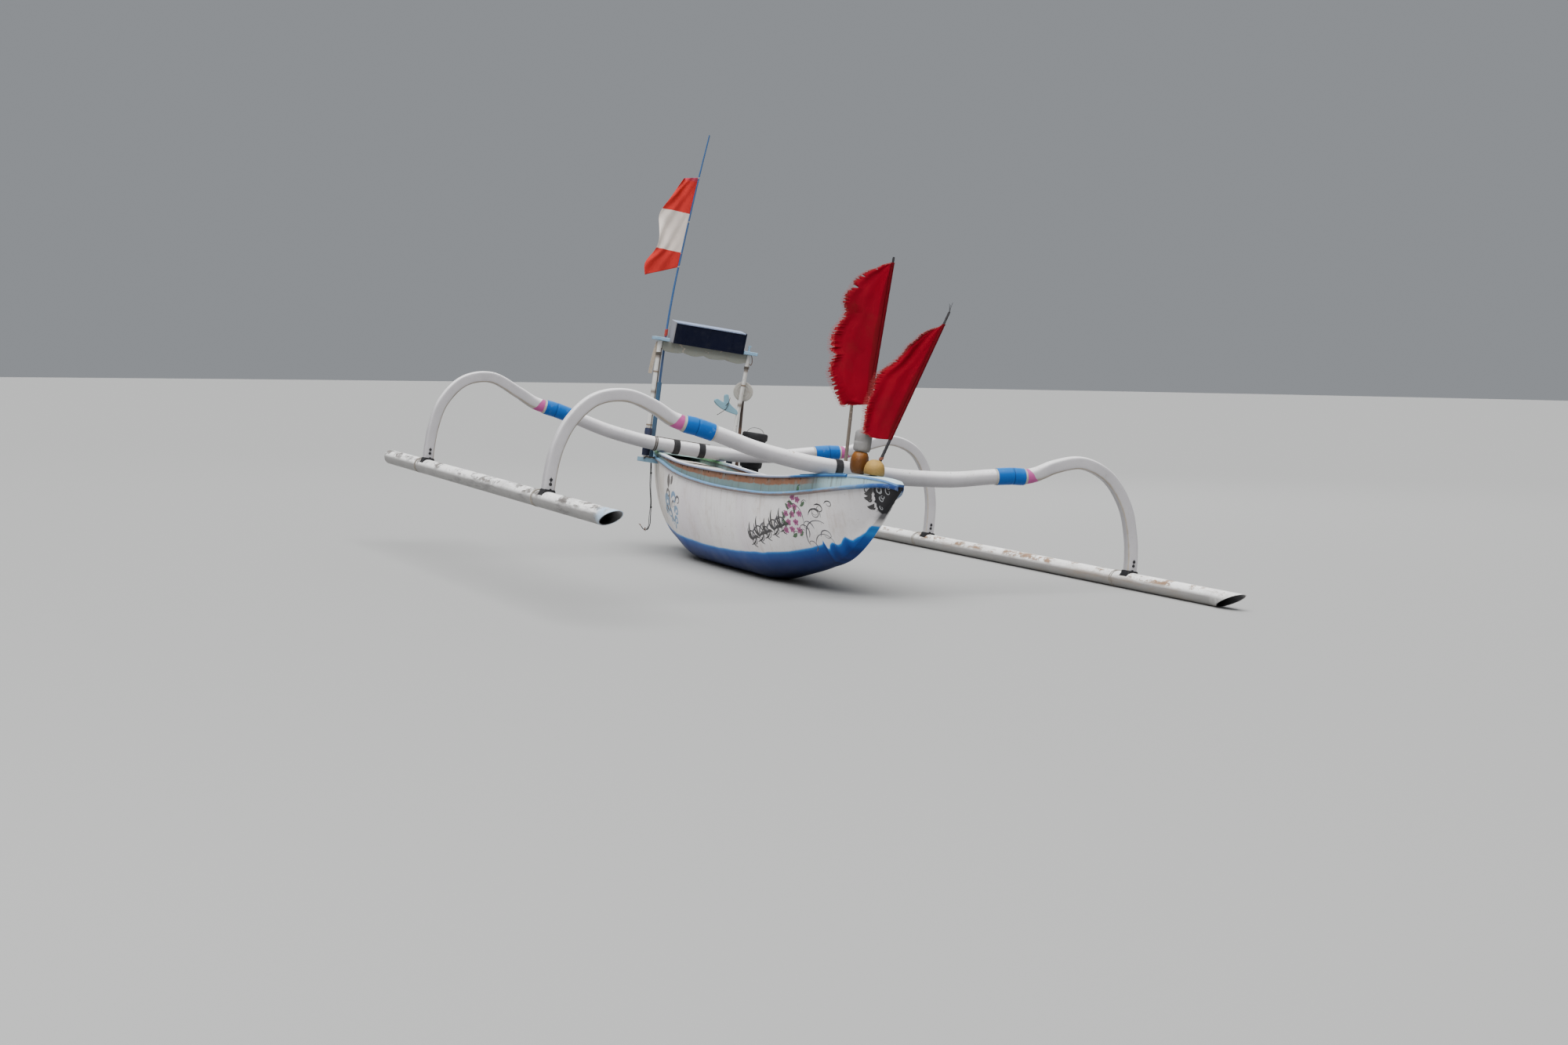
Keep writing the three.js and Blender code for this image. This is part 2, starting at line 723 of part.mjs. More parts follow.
// Flagpole along the starboard post, held low down by its socket tube
const POLE_LINE = [
  { y: -268, z: CROSSBOARD_Z.high + LEAN_SEAT },
  { y: -277, z: 950 },
  { y: -286, z: 1240 },
  { y: -292, z: 1500 },
  { y: -294, z: 1620 },
  { y: -286, z: 1950 },
  { y: -268, z: 2222 },
  { y: -222, z: 2802 },
  { y: -190, z: 3127 },
];
const POLE_X = POST_X - 57;
const POLE_GIRTH = { root: 10, tip: 5 };
const SOCKET = { radius: 17, bore: 11.4, top: 1236 };

const poleAt = smooth(POLE_LINE, (row) => row.z, ["y"]);

const POLE_FOOT = POLE_LINE[0].z;
const POLE_TOP = POLE_LINE[POLE_LINE.length - 1].z;

function poleRadius(z) {
  const { root, tip } = POLE_GIRTH;
  return root - ((root - tip) * (z - POLE_FOOT)) / (POLE_TOP - POLE_FOOT);
}

function addFlagpole() {
  const sides = 10;
  const rings = between(POLE_FOOT, POLE_TOP, 22).map((z) => {
    const radius = poleRadius(z);
    return between(0, sides - 1, sides - 1).map((i) => {
      const angle = (2 * Math.PI * i) / sides;
      return [POLE_X + radius * Math.cos(angle), poleAt(z).y + radius * Math.sin(angle), z];
    });
  });
  add("flagpole", loft(rings), "blue");
  const [low, , high] = POLE_LINE;
  const lean = (low.y - high.y) / (high.z - low.z);
  const at = (z) => [POLE_X, low.y - lean * (z - low.z), z];
  const hole = rod(at(low.z - 50), at(SOCKET.top + 60), SOCKET.bore, SOCKET.bore, 12);
  const tube = rod(at(low.z), at(SOCKET.top), SOCKET.radius, SOCKET.radius, 12);
  add("pole_socket", cut(tube, hole), "blue");
}

// Free edges of the stern flag in the plane of the pole, from the top of the hoist round to its foot
const STERN_FLAG = [
  [-334, 2778],
  [-466, 2528],
  [-475, 2224],
  [-537, 2098],
  [-530, 2012],
];
const STERN_HOIST = [2110, 2224, 2400, 2600, 2800];

const STAFF_BORE = 11;

// Marker staffs standing on the foredeck: where each meets the deck, its top, its end radii, and the
// radius of what stands on the deck
const STAFFS = [
  { name: "staff_1", x: 2000, y: [-121, -101], top: 2143, radii: [10, 7], under: 41 },
  { name: "staff_2", x: 2120, y: [-62, 275], top: 1860, radii: [10, 7], under: 62 },
  { name: "staff_3", x: 1583, y: [-40, -86], top: 1700, radii: [13, 10], under: 13 },
].map(({ name, x, y, top, radii, under }) => ({
  name,
  radii,
  foot: [x, y[0], deckUnder(x, y[0], under) + LEAN_SEAT],
  top: [x, y[1], top],
}));
const BARREL = [
  { r: 0, h: 0 },
  { r: 40, h: 0 },
  { r: 54, h: 30 },
  { r: 58, h: 75 },
  { r: 52, h: 120 },
  { r: 38, h: 140 },
  { r: 0, h: 140 },
];
const DRUM = [
  { r: 0, h: 0 },
  { r: 48, h: 0 },
  { r: 55, h: 16 },
  { r: 55, h: 116 },
  { r: 46, h: 132 },
  { r: 0, h: 132 },
];
const DOME = [
  { r: 0, h: 0 },
  { r: 62, h: 0 },
  { r: 66, h: 18 },
  { r: 62, h: 52 },
  { r: 44, h: 82 },
  { r: 18, h: 96 },
  { r: 0, h: 98 },
];
const FLAG_THICK = 5;
const HOIST_OUT = 9.7; // a bow flag's hoist, off its staff's middle
const BOW_FLAGS = [
  {
    name: "bow_flag_1",
    staff: 0,
    aft: 30, // degrees aft of square, as it streams
    outline: [
      [HOIST_OUT, 2106],
      [99, 2064],
      [206, 1999],
      [246, 1920],
      [282, 1850],
      [256, 1770],
      [304, 1658],
      [316, 1580],
      [282, 1482],
      [295, 1395],
      [237, 1259],
      [180, 1179],
      [107, 1192],
      [HOIST_OUT, 1211],
    ],
  },
  {
    name: "bow_flag_2",
    staff: 1,
    aft: 15,
    outline: [
      [HOIST_OUT, 1766],
      [73, 1733],
      [136, 1652],
      [170, 1562],
      [237, 1448],
      [268, 1380],
      [254, 1251],
      [225, 1140],
      [192, 1036],
      [135, 1013],
      [HOIST_OUT, 1015],
    ],
  },
];

function along({ foot, top }, z) {
  const t = (z - foot[2]) / (top[2] - foot[2]);
  return foot.map((value, i) => value + (top[i] - value) * t);
}

function addBowGear() {
  for (const { name, foot, top, radii } of STAFFS) {
    add(name, rod(foot, top, ...radii, 10), name === "staff_3" ? "bamboo" : "black");
  }
  const [one, two] = STAFFS;
  const way = ({ foot, top }) => top.map((value, i) => value - foot[i]);
  const through = (staff) => {
    const [low, high] = [staff.foot[2] - 60, staff.foot[2] + 500];
    return rod(along(staff, low), along(staff, high), STAFF_BORE, STAFF_BORE, 10);
  };
  const upon = one.foot[2] + BARREL[BARREL.length - 1].h + SEAT + 0.1;
  const stack = [
    { name: "marker_float_orange", profile: BARREL, staff: one, z: one.foot[2], paint: "orange" },
    { name: "marker_float_grey", profile: DRUM, staff: one, z: upon, paint: "grey" },
    { name: "marker_float_tan", profile: DOME, staff: two, z: two.foot[2], paint: "tan" },
  ];
  for (const { name, profile, staff, z, paint } of stack) {
    const axis = staff === one ? way(staff) : [0, 0, 1];
    add(name, cut(turned(profile, along(staff, z), axis, 18), through(staff)), paint);
  }
}

function addFlags() {
  const hoist = STERN_HOIST.map((z) => [poleAt(z).y - poleRadius(z) - 0.2, z]);
  add("stern_flag", plate([...hoist, ...STERN_FLAG], FLAG_THICK, [POLE_X, 0, 0]), "flag");
  for (const { name, staff, aft, outline } of BOW_FLAGS) {
    const { foot, top } = STAFFS[staff];
    const [leanX, leanY] = [0, 1].map((i) => (top[i] - foot[i]) / (top[2] - foot[2]));
    const lean = new THREE.Matrix4().set(1, 0, leanX, 0, 0, 1, leanY, 0, 0, 0, 1, 0, 0, 0, 0, 1);
    const start = foot.map((value, i) => value - [leanX, leanY, 1][i] * foot[2]);
    const aside = outline.map(([out, z]) => [-out, z]);
    const flat = plate(aside, FLAG_THICK, [0, 0, 0], -THREE.MathUtils.degToRad(aft));
    add(name, flat.applyMatrix4(lean).translate(...start), "flag");
  }
}

const TUB = [
  { r: 0, h: 0 },
  { r: 66, h: 0 },
  { r: 66, h: 40 },
  { r: 80, h: 44 },
  { r: 86, h: 64 },
  { r: 86, h: 252 },
  { r: 98, h: 258 },
  { r: 98, h: 300 },
  { r: 90, h: 310 },
  { r: 0, h: 310 },
];
const TUB_AT = { x: -1796, y: 536 };
const REEL_DISC = [
  { r: 0, h: -11 },
  { r: 66, h: -11 },
  { r: 75, h: -5 },
  { r: 75, h: 5 },
  { r: 66, h: 11 },
  { r: 0, h: 11 },
];
const REEL = { x: -1776, y: 380, z: 1266, axis: [1, -0.35, 0], foot: 420, sinks: 26 };
const FORK_THICK = 30;
const FORK = [
  [331.9, 1084],
  [332.9, 1116],
  [268, 1160],
  [248, 1222],
  [220, 1216],
  [222, 1162],
  [164, 1182],
  [148, 1154],
  [212, 1112],
];

// Gear on the crossboard, port of the hull, and the crutch on the port post
function addSternGear() {
  const { fore, aft, starboard, port } = CROSSBOARD;
  const { low, high } = CROSSBOARD_Z;
  const size = [fore - aft, port - starboard, high - low];
  const middle = [(fore + aft) / 2, (port + starboard) / 2, (low + high) / 2];
  add("crossboard", block(size, middle), "strake");
  add("line_tub", turned(TUB, [TUB_AT.x, TUB_AT.y, high + SEAT], [0, 0, 1], 20), "black");
  const { x, y, z, axis, foot, sinks } = REEL;
  const stick = rod([x, foot, high + LEAN_SEAT], [x, y + 5, z - sinks], 13, 11, 10);
  const wheel = turned(REEL_DISC, [x, y, z], axis, 24);
  add("reel", geometryOf(solid(stick).add(solid(wheel))), "rail");
  add("spar_crutch", plate(FORK, FORK_THICK, [POST_X, 0, 0]), "deck");
}

// A loose line hanging from the crossboard, with its end turned up in a short hook
const LINE_EXIT = [-1797, -252, 627.1];
const LINE_DIAMETER = 7;
const LINE_DROP = [
  { down: 0, out: 0 },
  { down: 60, out: 0 },
  { down: 180, out: 3 },
  { down: 300, out: -2 },
  { down: 400, out: 2 },
  { down: 470, out: 8 },
  { down: 505, out: 30 },
  { down: 498, out: 58 },
  { down: 478, out: 74 },
];

function addHangingLine() {
  const points = LINE_DROP.map(({ down, out }) => {
    const y = LINE_EXIT[1] + down * Math.sin(HEEL) - out * Math.cos(HEEL);
    const z = LINE_EXIT[2] - down * Math.cos(HEEL) - out * Math.sin(HEEL);
    return new THREE.Vector3(LINE_EXIT[0], y, z);
  });
  const section = new THREE.Shape();
  for (let i = 0; i < 8; i++) {
    const angle = (Math.PI * i) / 4;
    const x = (LINE_DIAMETER / 2) * Math.cos(angle);
    const y = (LINE_DIAMETER / 2) * Math.sin(angle);
    if (i) section.lineTo(x, y);
    else section.moveTo(x, y);
  }
  const path = new THREE.CatmullRomCurve3(points, false, "centripetal");
  add(
    "stern_line",
    new THREE.ExtrudeGeometry(section, { steps: 32, extrudePath: path, bevelEnabled: false }),
    "rope",
  );
}

addHull();
addSides();
addDecks();
addThwarts();
addBeams();
addRearPacking();
addFloats();
addPosts();
addScallopedBoard();
addBox();
addFlagpole();
addBowGear();
addFlags();
addSternGear();
addHangingLine();

// Heeled to port about the keel, then set with the middle of its footprint at the origin
boat.rotation.x = -HEEL;
boat.updateMatrixWorld(true);
const extent = new THREE.Box3().setFromObject(boat, true);
const middle = extent.getCenter(new THREE.Vector3());
boat.position.set(-middle.x, -middle.y, -extent.min.z);

const canoe = new THREE.Group();
canoe.name = "outrigger_canoe";
canoe.add(boat);

export default canoe;
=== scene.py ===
import math

import bmesh
import bpy
import numpy as np
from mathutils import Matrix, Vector, noise


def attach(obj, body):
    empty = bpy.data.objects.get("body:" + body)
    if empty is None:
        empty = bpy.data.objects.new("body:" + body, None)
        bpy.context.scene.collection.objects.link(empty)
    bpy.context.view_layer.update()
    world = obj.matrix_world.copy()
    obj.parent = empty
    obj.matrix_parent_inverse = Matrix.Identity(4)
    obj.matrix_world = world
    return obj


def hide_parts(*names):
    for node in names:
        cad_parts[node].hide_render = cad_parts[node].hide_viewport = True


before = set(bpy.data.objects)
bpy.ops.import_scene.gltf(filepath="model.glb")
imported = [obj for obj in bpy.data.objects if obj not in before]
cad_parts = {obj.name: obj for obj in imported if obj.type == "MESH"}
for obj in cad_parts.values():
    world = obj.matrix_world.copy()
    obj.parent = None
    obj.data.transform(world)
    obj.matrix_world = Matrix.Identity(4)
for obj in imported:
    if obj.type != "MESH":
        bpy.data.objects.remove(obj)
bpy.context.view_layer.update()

# The boat's own frame, as in the part's source: millimetres, X forward, Y to port, Z up from the keel.
# It is heeled to port and shifted to the row's frame.
HEEL = math.radians(8.364616063684384)
SHIFT = np.array([-0.0872857666, -0.0920011166, 0.0050915221])
SIDES = {"port": 1, "starboard": -1}


def row(points):
    """Points of the boat's frame, in millimetres, as points of the row's frame, in metres."""
    p = np.asarray(points, float).reshape(-1, 3) / 1000
    c, s = math.cos(HEEL), math.sin(HEEL)
    return np.stack([p[:, 0], p[:, 1] * c + p[:, 2] * s, p[:, 2] * c - p[:, 1] * s], 1) + SHIFT


# Camera, solved on the photo from the feet and sleeves of the four arms
CAMERA = {"at": (17.28559, -6.26455, 1.68979), "turn": (85.8286, -0.8591, 69.7724), "lens": 61.2}


def add_camera():
    data = bpy.data.cameras.new("camera")
    data.lens = CAMERA["lens"]
    data.clip_end = 200
    camera = bpy.data.objects.new("camera", data)
    camera.location = CAMERA["at"]
    camera.rotation_euler = [math.radians(angle) for angle in CAMERA["turn"]]
    bpy.context.scene.collection.objects.link(camera)
    bpy.context.scene.camera = camera


def around(count):
    """Even angles round a full turn."""
    return np.arange(count) * 2 * math.pi / count


# Mesh helpers
def join(*parts):
    """Several (points, faces) as one."""
    points, faces, start = [], [], 0
    for some_points, some_faces in parts:
        some_points = np.asarray(some_points, float).reshape(-1, 3)
        points.append(some_points)
        faces += [[start + i for i in face] for face in some_faces]
        start += len(some_points)
    return np.concatenate(points), faces


def loft(rings, loop=False):
    """A skin over rings of equal count, each closed round. Its ends are closed by fans, or meet in a loop."""
    rings = [np.asarray(ring, float) for ring in rings]
    n, count = len(rings[0]), len(rings)
    points = list(np.concatenate(rings))
    faces = []
    for r in range(count if loop else count - 1):
        a, b = r * n, (r + 1) % count * n
        faces += [[a + i, b + i, b + (i + 1) % n, a + (i + 1) % n] for i in range(n)]
    if not loop:
        for r in (0, count - 1):
            points.append(rings[r].mean(0))
            middle = len(points) - 1
            faces += [[middle, r * n + i, r * n + (i + 1) % n] for i in range(n)]
    return np.array(points), faces


def run_along(path):
    """How far along a path each of its points lies."""
    return np.concatenate([[0], np.cumsum(np.linalg.norm(np.diff(path, axis=0), axis=1))])


def frames_along(path):
    """Unit tangents and two unit normals that don't twist, at each point of a path."""
    path = np.asarray(path, float)
    tangents = np.gradient(path, axis=0)
    tangents /= np.linalg.norm(tangents, axis=1)[:, None]
    first = np.cross(tangents[0], [0, 0, 1])
    if np.linalg.norm(first) < 0.2:
        first = np.cross(tangents[0], [1, 0, 0])
    side = first / np.linalg.norm(first)
    sides = []
    for tangent in tangents:
        side = side - tangent * side.dot(tangent)
        side /= np.linalg.norm(side)
        sides.append(side)
    sides = np.array(sides)
    return tangents, sides, np.cross(tangents, sides)


def tube(path, radius, sides=12, twist=0.0, lobes=0, lobe=0.0):
    """A round bar along a path; radius is a number or one for each point. Lobes make it a rope."""
    path = np.asarray(path, float)
    radii = np.broadcast_to(np.asarray(radius, float), len(path))
    _, across, up = frames_along(path)
    lengths = run_along(path)
    angles = around(sides)
    swell = 1 - lobe + lobe * np.abs(np.cos(lobes * angles / 2)) if lobes else 1
    rings = []
    for i, point in enumerate(path):
        size = radii[i] * swell
        at = angles + twist * lengths[i]
        rings.append(point + np.outer(size * np.cos(at), across[i]) + np.outer(size * np.sin(at), up[i]))
    return loft(rings)


def turned(profile, foot, axis=(0, 0, 1), sides=40):
    """A turned body; its profile is (radius, height) from foot to top, closed on the axis."""
    turn = Vector((0, 0, 1)).rotation_difference(Vector(axis)).to_matrix()
    rings = []
    for radius, height in profile:
        ring = [turn @ Vector((radius * math.cos(a), radius * math.sin(a), height)) for a in around(sides)]
        rings.append(np.array(ring) + np.array(foot))
    return loft(rings)


def brick(size, centre):
    """A block of six faces."""
    corners = np.array([[x, y, z] for x in (-1, 1) for y in (-1, 1) for z in (-1, 1)]) * np.array(size) / 2
    faces = [[0, 1, 3, 2], [4, 6, 7, 5], [0, 4, 5, 1], [2, 3, 7, 6], [0, 2, 6, 4], [1, 5, 7, 3]]
    return corners + np.array(centre, float), faces


def rounded(points, closed=True, steps=4):
    """A polygon's points with a smooth Catmull-Rom curve through them."""
    points = np.asarray(points, float)
    n = len(points)
    out = []
    for i in range(n if closed else n - 1):
        pick = [(i + k) % n if closed else min(max(i + k, 0), n - 1) for k in (-1, 0, 1, 2)]
        a, b, c, d = points[pick]
        for t in np.arange(steps) / steps:
            square, cube = 2 * a - 5 * b + 4 * c - d, 3 * b - a - 3 * c + d
            out.append(0.5 * (2 * b + (c - a) * t + square * t**2 + cube * t**3))
    if not closed:
        out.append(points[-1])
    return np.array(out)


def bent(points, radius, sides, steps):
    """A bar along a smooth curve through a few points."""
    return tube(rounded(points, False, steps), radius, sides)


def plate(outline, thick, at_x):
    """A plate square to X from an outline of (y, z)."""
    sides = [[(at_x + x, y, z) for y, z in outline] for x in (-thick / 2, thick / 2)]
    n = len(outline)
    points = np.array(sides[0] + sides[1], float)
    faces = [list(range(n)), list(range(2 * n - 1, n - 1, -1))]
    faces += [[i, (i + 1) % n, n + (i + 1) % n, n + i] for i in range(n)]
    return points, faces


def grid_faces(rows, columns):
    """Faces of a sheet of points, row by row."""
    corners = [j * (columns + 1) + i for j in range(rows) for i in range(columns)]
    return [[k, k + 1, k + columns + 2, k + columns + 1] for k in corners]


def add(name, shape, paint, slot, nodes=(), smooth=35, bevel=0.0, marks=None):
    """A piece on the boat: its mesh in the row's frame, its paint, and the nodes that it stands for."""
    points, faces = shape
    mesh = bpy.data.meshes.new(name)
    mesh.from_pydata(row(points).tolist(), [], faces)
    for key, values in (marks or {}).items():
        mesh.attributes.new(key, "FLOAT", "POINT").data.foreach_set("value", np.asarray(values, np.float32))
    work = bmesh.new()
    work.from_mesh(mesh)
    bmesh.ops.recalc_face_normals(work, faces=work.faces)
    work.to_mesh(mesh)
    work.free()
    mesh.shade_smooth()
    mesh.set_sharp_from_angle(angle=math.radians(smooth))
    mesh.materials.append(paint)
    piece = bpy.data.objects.new(name, mesh)
    bpy.context.scene.collection.objects.link(piece)
    if bevel:
        modifier = piece.modifiers.new("edges", "BEVEL")
        modifier.width = bevel / 1000
        modifier.segments = 3
        modifier.limit_method = "ANGLE"
    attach(piece, "root")
    if nodes:
        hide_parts(*nodes)
    return piece


def smooth_table(rows):
    """The part source's smooth cubic through rows of (t, values...)."""
    table = np.array(rows, float)
    t, values = table[:, 0], table[:, 1:]

    def at(s):
        s = min(max(s, t[0]), t[-1])
        i = int(min(max(np.searchsorted(t, s, side="right"), 1), len(t) - 1))
        half = (t[i] - t[i - 1]) / 2
        before, after = (i - 2 if i > 1 else i), (i + 1 if i + 1 < len(t) else i - 1)
        lead, tail = half / (t[i - 1] - t[before]), half / (t[after] - t[i])
        p = (s - t[i - 1]) / (t[i] - t[i - 1])
        weights = (
            (before, -lead * p**3 + 2 * lead * p**2 - lead * p),
            (i - 1, (1 + lead) * p**3 - (1.5 + 2 * lead) * p**2 + (lead - 0.5) * p + 1),
            (i, -(1 + tail) * p**3 + (1.5 + tail) * p**2 + 0.5 * p),
            (after, tail * p**3 - tail * p**2),
        )
        return sum(values[k] * w for k, w in weights)

    return at


# Materials
class Paint:
    """A node material on the Principled shader, with short ways to add nodes."""

    def __init__(self, name):
        self.material = bpy.data.materials.new(name)
        self.material.use_nodes = True
        self.tree = self.material.node_tree
        self.shader = self.tree.nodes["Principled BSDF"]
        self._boat = None

    def node(self, kind, inputs, out=0, **settings):
        node = self.tree.nodes.new("ShaderNode" + kind)
        for key, value in settings.items():
            setattr(node, key, value)
        for key, value in inputs.items():
            self.put(node.inputs[key], value)
        return node.outputs[out]

    def put(self, socket, value):
        if isinstance(value, bpy.types.NodeSocket):
            self.tree.links.new(value, socket)
        elif socket.type == "RGBA":
            socket.default_value = (*value[:3], 1)
        else:
            socket.default_value = value

    def boat(self):
        """The point in the boat's frame, in metres."""
        if self._boat is None:
            place = self.node("TexCoord", {}, "Object")
            c, s = math.cos(HEEL), math.sin(HEEL)
            x, y, z = SHIFT
            back = (-x, -(y * c - z * s), -(y * s + z * c))
            self._boat = self.node("Mapping", {"Vector": place, "Rotation": (HEEL, 0, 0), "Location": back})
        return self._boat

    def axis(self, name, vector=None):
        return self.node("SeparateXYZ", {0: vector or self.boat()}, name)

    def mark(self, name):
        return self.node("Attribute", {}, "Fac", attribute_name=name, attribute_type="GEOMETRY")

    def math(self, operation, a, b=0.0):
        return self.node("Math", {0: a, 1: b}, operation=operation)

    def mul(self, a, b):
        return self.math("MULTIPLY", a, b)

    def plus(self, a, b):
        return self.math("ADD", a, b)

    def minus(self, a, b):
        return self.math("SUBTRACT", a, b)

    def noise(self, scale, detail=4, rough=0.55, stretch=(1, 1, 1), shift=0.0):
        place = self.boat()
        if stretch != (1, 1, 1) or shift:
            moved = (shift, shift * 1.7, shift * 0.6)
            place = self.node("Mapping", {"Vector": place, "Scale": stretch, "Location": moved})
        return self.node(
            "TexNoise", {"Vector": place, "Scale": scale, "Detail": detail, "Roughness": rough}
        )

    def wobble(self, scale, detail, size):
        """Noise about nought, to make an edge uneven."""
        return self.mul(self.minus(self.noise(scale, detail), 0.5), size)

    def along(self):
        """The share of the boat's length, from 0 at 2.5 m aft to 1 at 2.5 m forward."""
        return self.mul(self.plus(self.axis("X"), 2.5), 0.2)

    def cells(self, scale, stretch=(1, 1, 1)):
        place = self.node("Mapping", {"Vector": self.boat(), "Scale": stretch})
        return self.node("TexVoronoi", {"Vector": place, "Scale": scale}, "Distance")

    def ramp(self, value, *stops):
        """A colour or number for each value: stops of (place, number or colour)."""
        node = self.tree.nodes.new("ShaderNodeValToRGB")
        elements = node.color_ramp.elements
        while len(elements) < len(stops):
            elements.new(0.5)
        for element, (place, shade) in zip(elements, stops):
            element.position = place
            element.color = (shade,) * 3 + (1,) if np.isscalar(shade) else (*shade, 1)
        self.put(node.inputs[0], value)
        return node.outputs[0]

    def rise(self, value, low, high, most=1.0):
        """A share that climbs from nought at low to most at high."""
        return self.ramp(value, (low, 0.0), (high, most))

    def fall(self, value, low, high, most=1.0):
        """A share that drops from most at low to nought at high."""
        return self.ramp(value, (low, most), (high, 0.0))

    def mix(self, amount, a, b):
        return self.node("Mix", {0: amount, 6: a, 7: b}, 2, data_type="RGBA")

    def patch(self, colour, shade, value, low, high, most=1.0):
        """A colour, with a shade over it where a value climbs from low to high."""
        return self.mix(self.rise(value, low, high, most), colour, shade)

    def bump(self, height, distance):
        return self.node("Bump", {"Height": height, "Distance": distance, "Strength": 1.0})

    def facing_up(self):
        return self.axis("Z", self.node("NewGeometry", {}, "Normal"))

    def done(self, colour, rough, normal=None, **sockets):
        self.put(self.shader.inputs["Base Color"], colour)
        self.put(self.shader.inputs["Roughness"], rough)
        if normal:
            self.put(self.shader.inputs["Normal"], normal)
        sockets.setdefault("Specular_IOR_Level", 0.22)
        for name, value in sockets.items():
            self.put(self.shader.inputs[name.replace("_", " ")], value)
        return self.material


def times(colour, factor):
    return tuple(min(1.0, value * factor) for value in colour)


def aged(
    name, base, under=None, chips=0.0, dirt=0.35, soil=(0.16, 0.12, 0.08), rough=0.5, grain=0.0, fleck=0.0,
    vary=0.12, streaks=0.0, bump=0.0006, finish=None,
):
    """Old paint: uneven shade, soil in patches and flecks, soil on faces turned down that doubles as painted
    shade, streaks down the side, chips to what is under.
    """
    p = Paint(name)
    shade = p.noise(2.2, 5, 0.6)
    colour = p.mix(shade, times(base, 1 - vary), times(base, 1 + vary * 0.5))
    patches = p.rise(p.noise(4.5, 9, 0.68, shift=3.1), 0.5, 0.78, dirt)
    # Soil on faces turned down, in patches: partly dirt, partly painted shade under things.
    low = p.ramp(p.facing_up(), (0.0, min(1, dirt * 1.2)), (0.35, 0.0))
    low = p.mul(low, p.noise(9, 6, 0.7, shift=1.4))
    colour = p.mix(p.math("MAXIMUM", patches, low), colour, soil)
    if streaks:
        lines = p.rise(p.noise(26, 4, 0.6, stretch=(1, 1, 0.05), shift=7.3), 0.56, 0.7, streaks)
        lines = p.mul(lines, p.rise(p.noise(2.6, 3, shift=2.2), 0.4, 0.62))
        colour = p.mix(lines, colour, times(soil, 1.25))
    height = p.noise(120, 5, 0.6, shift=0.5)
    if grain:
        wood = p.noise(9, 6, 0.62, stretch=(1.2, 16, 16), shift=4.4)
        colour = p.mix(p.fall(wood, 0.42, 0.6, grain), colour, times(soil, 1.2))
        height = p.plus(height, p.mul(wood, 1.4))
    if fleck:
        colour = p.patch(colour, times(soil, 0.8), p.noise(75, 3, 0.5, shift=9.0), 0.66, 0.71, fleck)
    roughness = p.plus(p.mul(p.noise(6, 3), 0.24), rough - 0.1)
    if chips:
        flakes = p.plus(p.noise(30, 7, 0.62, shift=6.1), p.mul(p.noise(3.4, 4, shift=5.5), 0.45))
        edge = min(1.02 - 0.26 * chips, 0.98)
        bare = p.ramp(flakes, (edge, 0.0), (min(edge + 0.012, 0.99), 1.0))
        ground = p.mix(p.noise(40, 5, 0.7), times(under, 0.7), times(under, 1.25))
        colour = p.mix(bare, colour, ground)
        height = p.minus(height, p.mul(bare, 1.8))
        roughness = p.plus(roughness, p.mul(bare, 0.25))
    return p.done(finish(p, colour) if finish else colour, roughness, p.bump(height, bump))


def rubber_paint(name="black_rubber", base=(0.014, 0.014, 0.016)):
    p = Paint(name)
    colour = p.patch(base, (0.07, 0.065, 0.06), p.noise(14, 8, 0.7), 0.45, 0.75, 0.4)
    return p.done(colour, 0.66, p.bump(p.noise(160, 5), 0.0008))


def rope_paint(name, base):
    p = Paint(name)
    strands = p.noise(220, 4, 0.6)
    colour = p.mix(p.noise(12, 6), times(base, 0.6), times(base, 1.3))
    colour = p.mix(p.fall(strands, 0.35, 0.6, 0.5), colour, times(base, 0.35))
    return p.done(colour, 0.85, p.bump(strands, 0.0008), Sheen_Weight=0.2, Sheen_Roughness=0.5)


# Hull lines by station: x, keel, half breadth, sheer, the rail's top, and how straight the side runs
HULL_LINES = smooth_table([
    (-2420, 655, 16, 708, 745, 0.7),
    (-2300, 552, 68, 704, 745, 0.7),
    (-2120, 335, 138, 694, 737, 0.65),
    (-1815, 170, 216, 676, 724, 0.5),
    (-1500, 88, 270, 656, 709, 0.33),
    (-913, 0, 318, 592, 676, 0),
    (-200, 0, 336, 557, 664, 0),
    (553, 0, 326, 554, 670, 0),
    (1000, 70, 304, 567, 686, 0.1),
    (1431, 154, 268, 606, 718, 0.28),
    (1804, 256, 215, 658, 752, 0.58),
    (2056, 412, 152, 698, 770, 0.8),
    (2275, 589, 66, 732, 770, 0.8),
    (2440, 711, 12, 735, 752, 0.8),
])
HULL_ENDS = (-2420, 2440)
WELL = (-1500, 1450)
HULL_WALL, HULL_FLOOR = 26, 34
KEEL_HALF = 35
RAIL_THICK, RAIL_WIDE, RAIL_OUT = 16, 46, 12
SEAT = 0.3
STRIP_STEP = 30


def section(x, inset=0, lift=0, steps=22):
    """Half a hull section, from the keel to the sheer, as (y, z)."""
    keel, half, sheer, _, vee = HULL_LINES(x)
    vee = min(max(vee, 0), 1)
    bottom = max(keel, 0) + lift
    flat = min(KEEL_HALF, half * 0.22) * (0.6 if inset else 1)
    t = np.arange(steps + 1) / steps
    out = (1 - vee) * np.sin(t * math.pi / 2) + vee * t
    up = (1 - vee) * (1 - np.cos(t * math.pi / 2)) + vee * t
    return np.stack([flat + (half - inset - flat) * out, bottom + (sheer - bottom) * up], 1)


def both_sides(x, half_section):
    """A section from the starboard sheer round the keel to the port sheer, as points."""
    port = [(x, y, z) for y, z in half_section]
    starboard = [(x, -y, z) for y, z in half_section[::-1]]
    return starboard + port


def stations(start, end, step):
    return np.linspace(start, end, max(2, int(abs(end - start) / step) + 1))


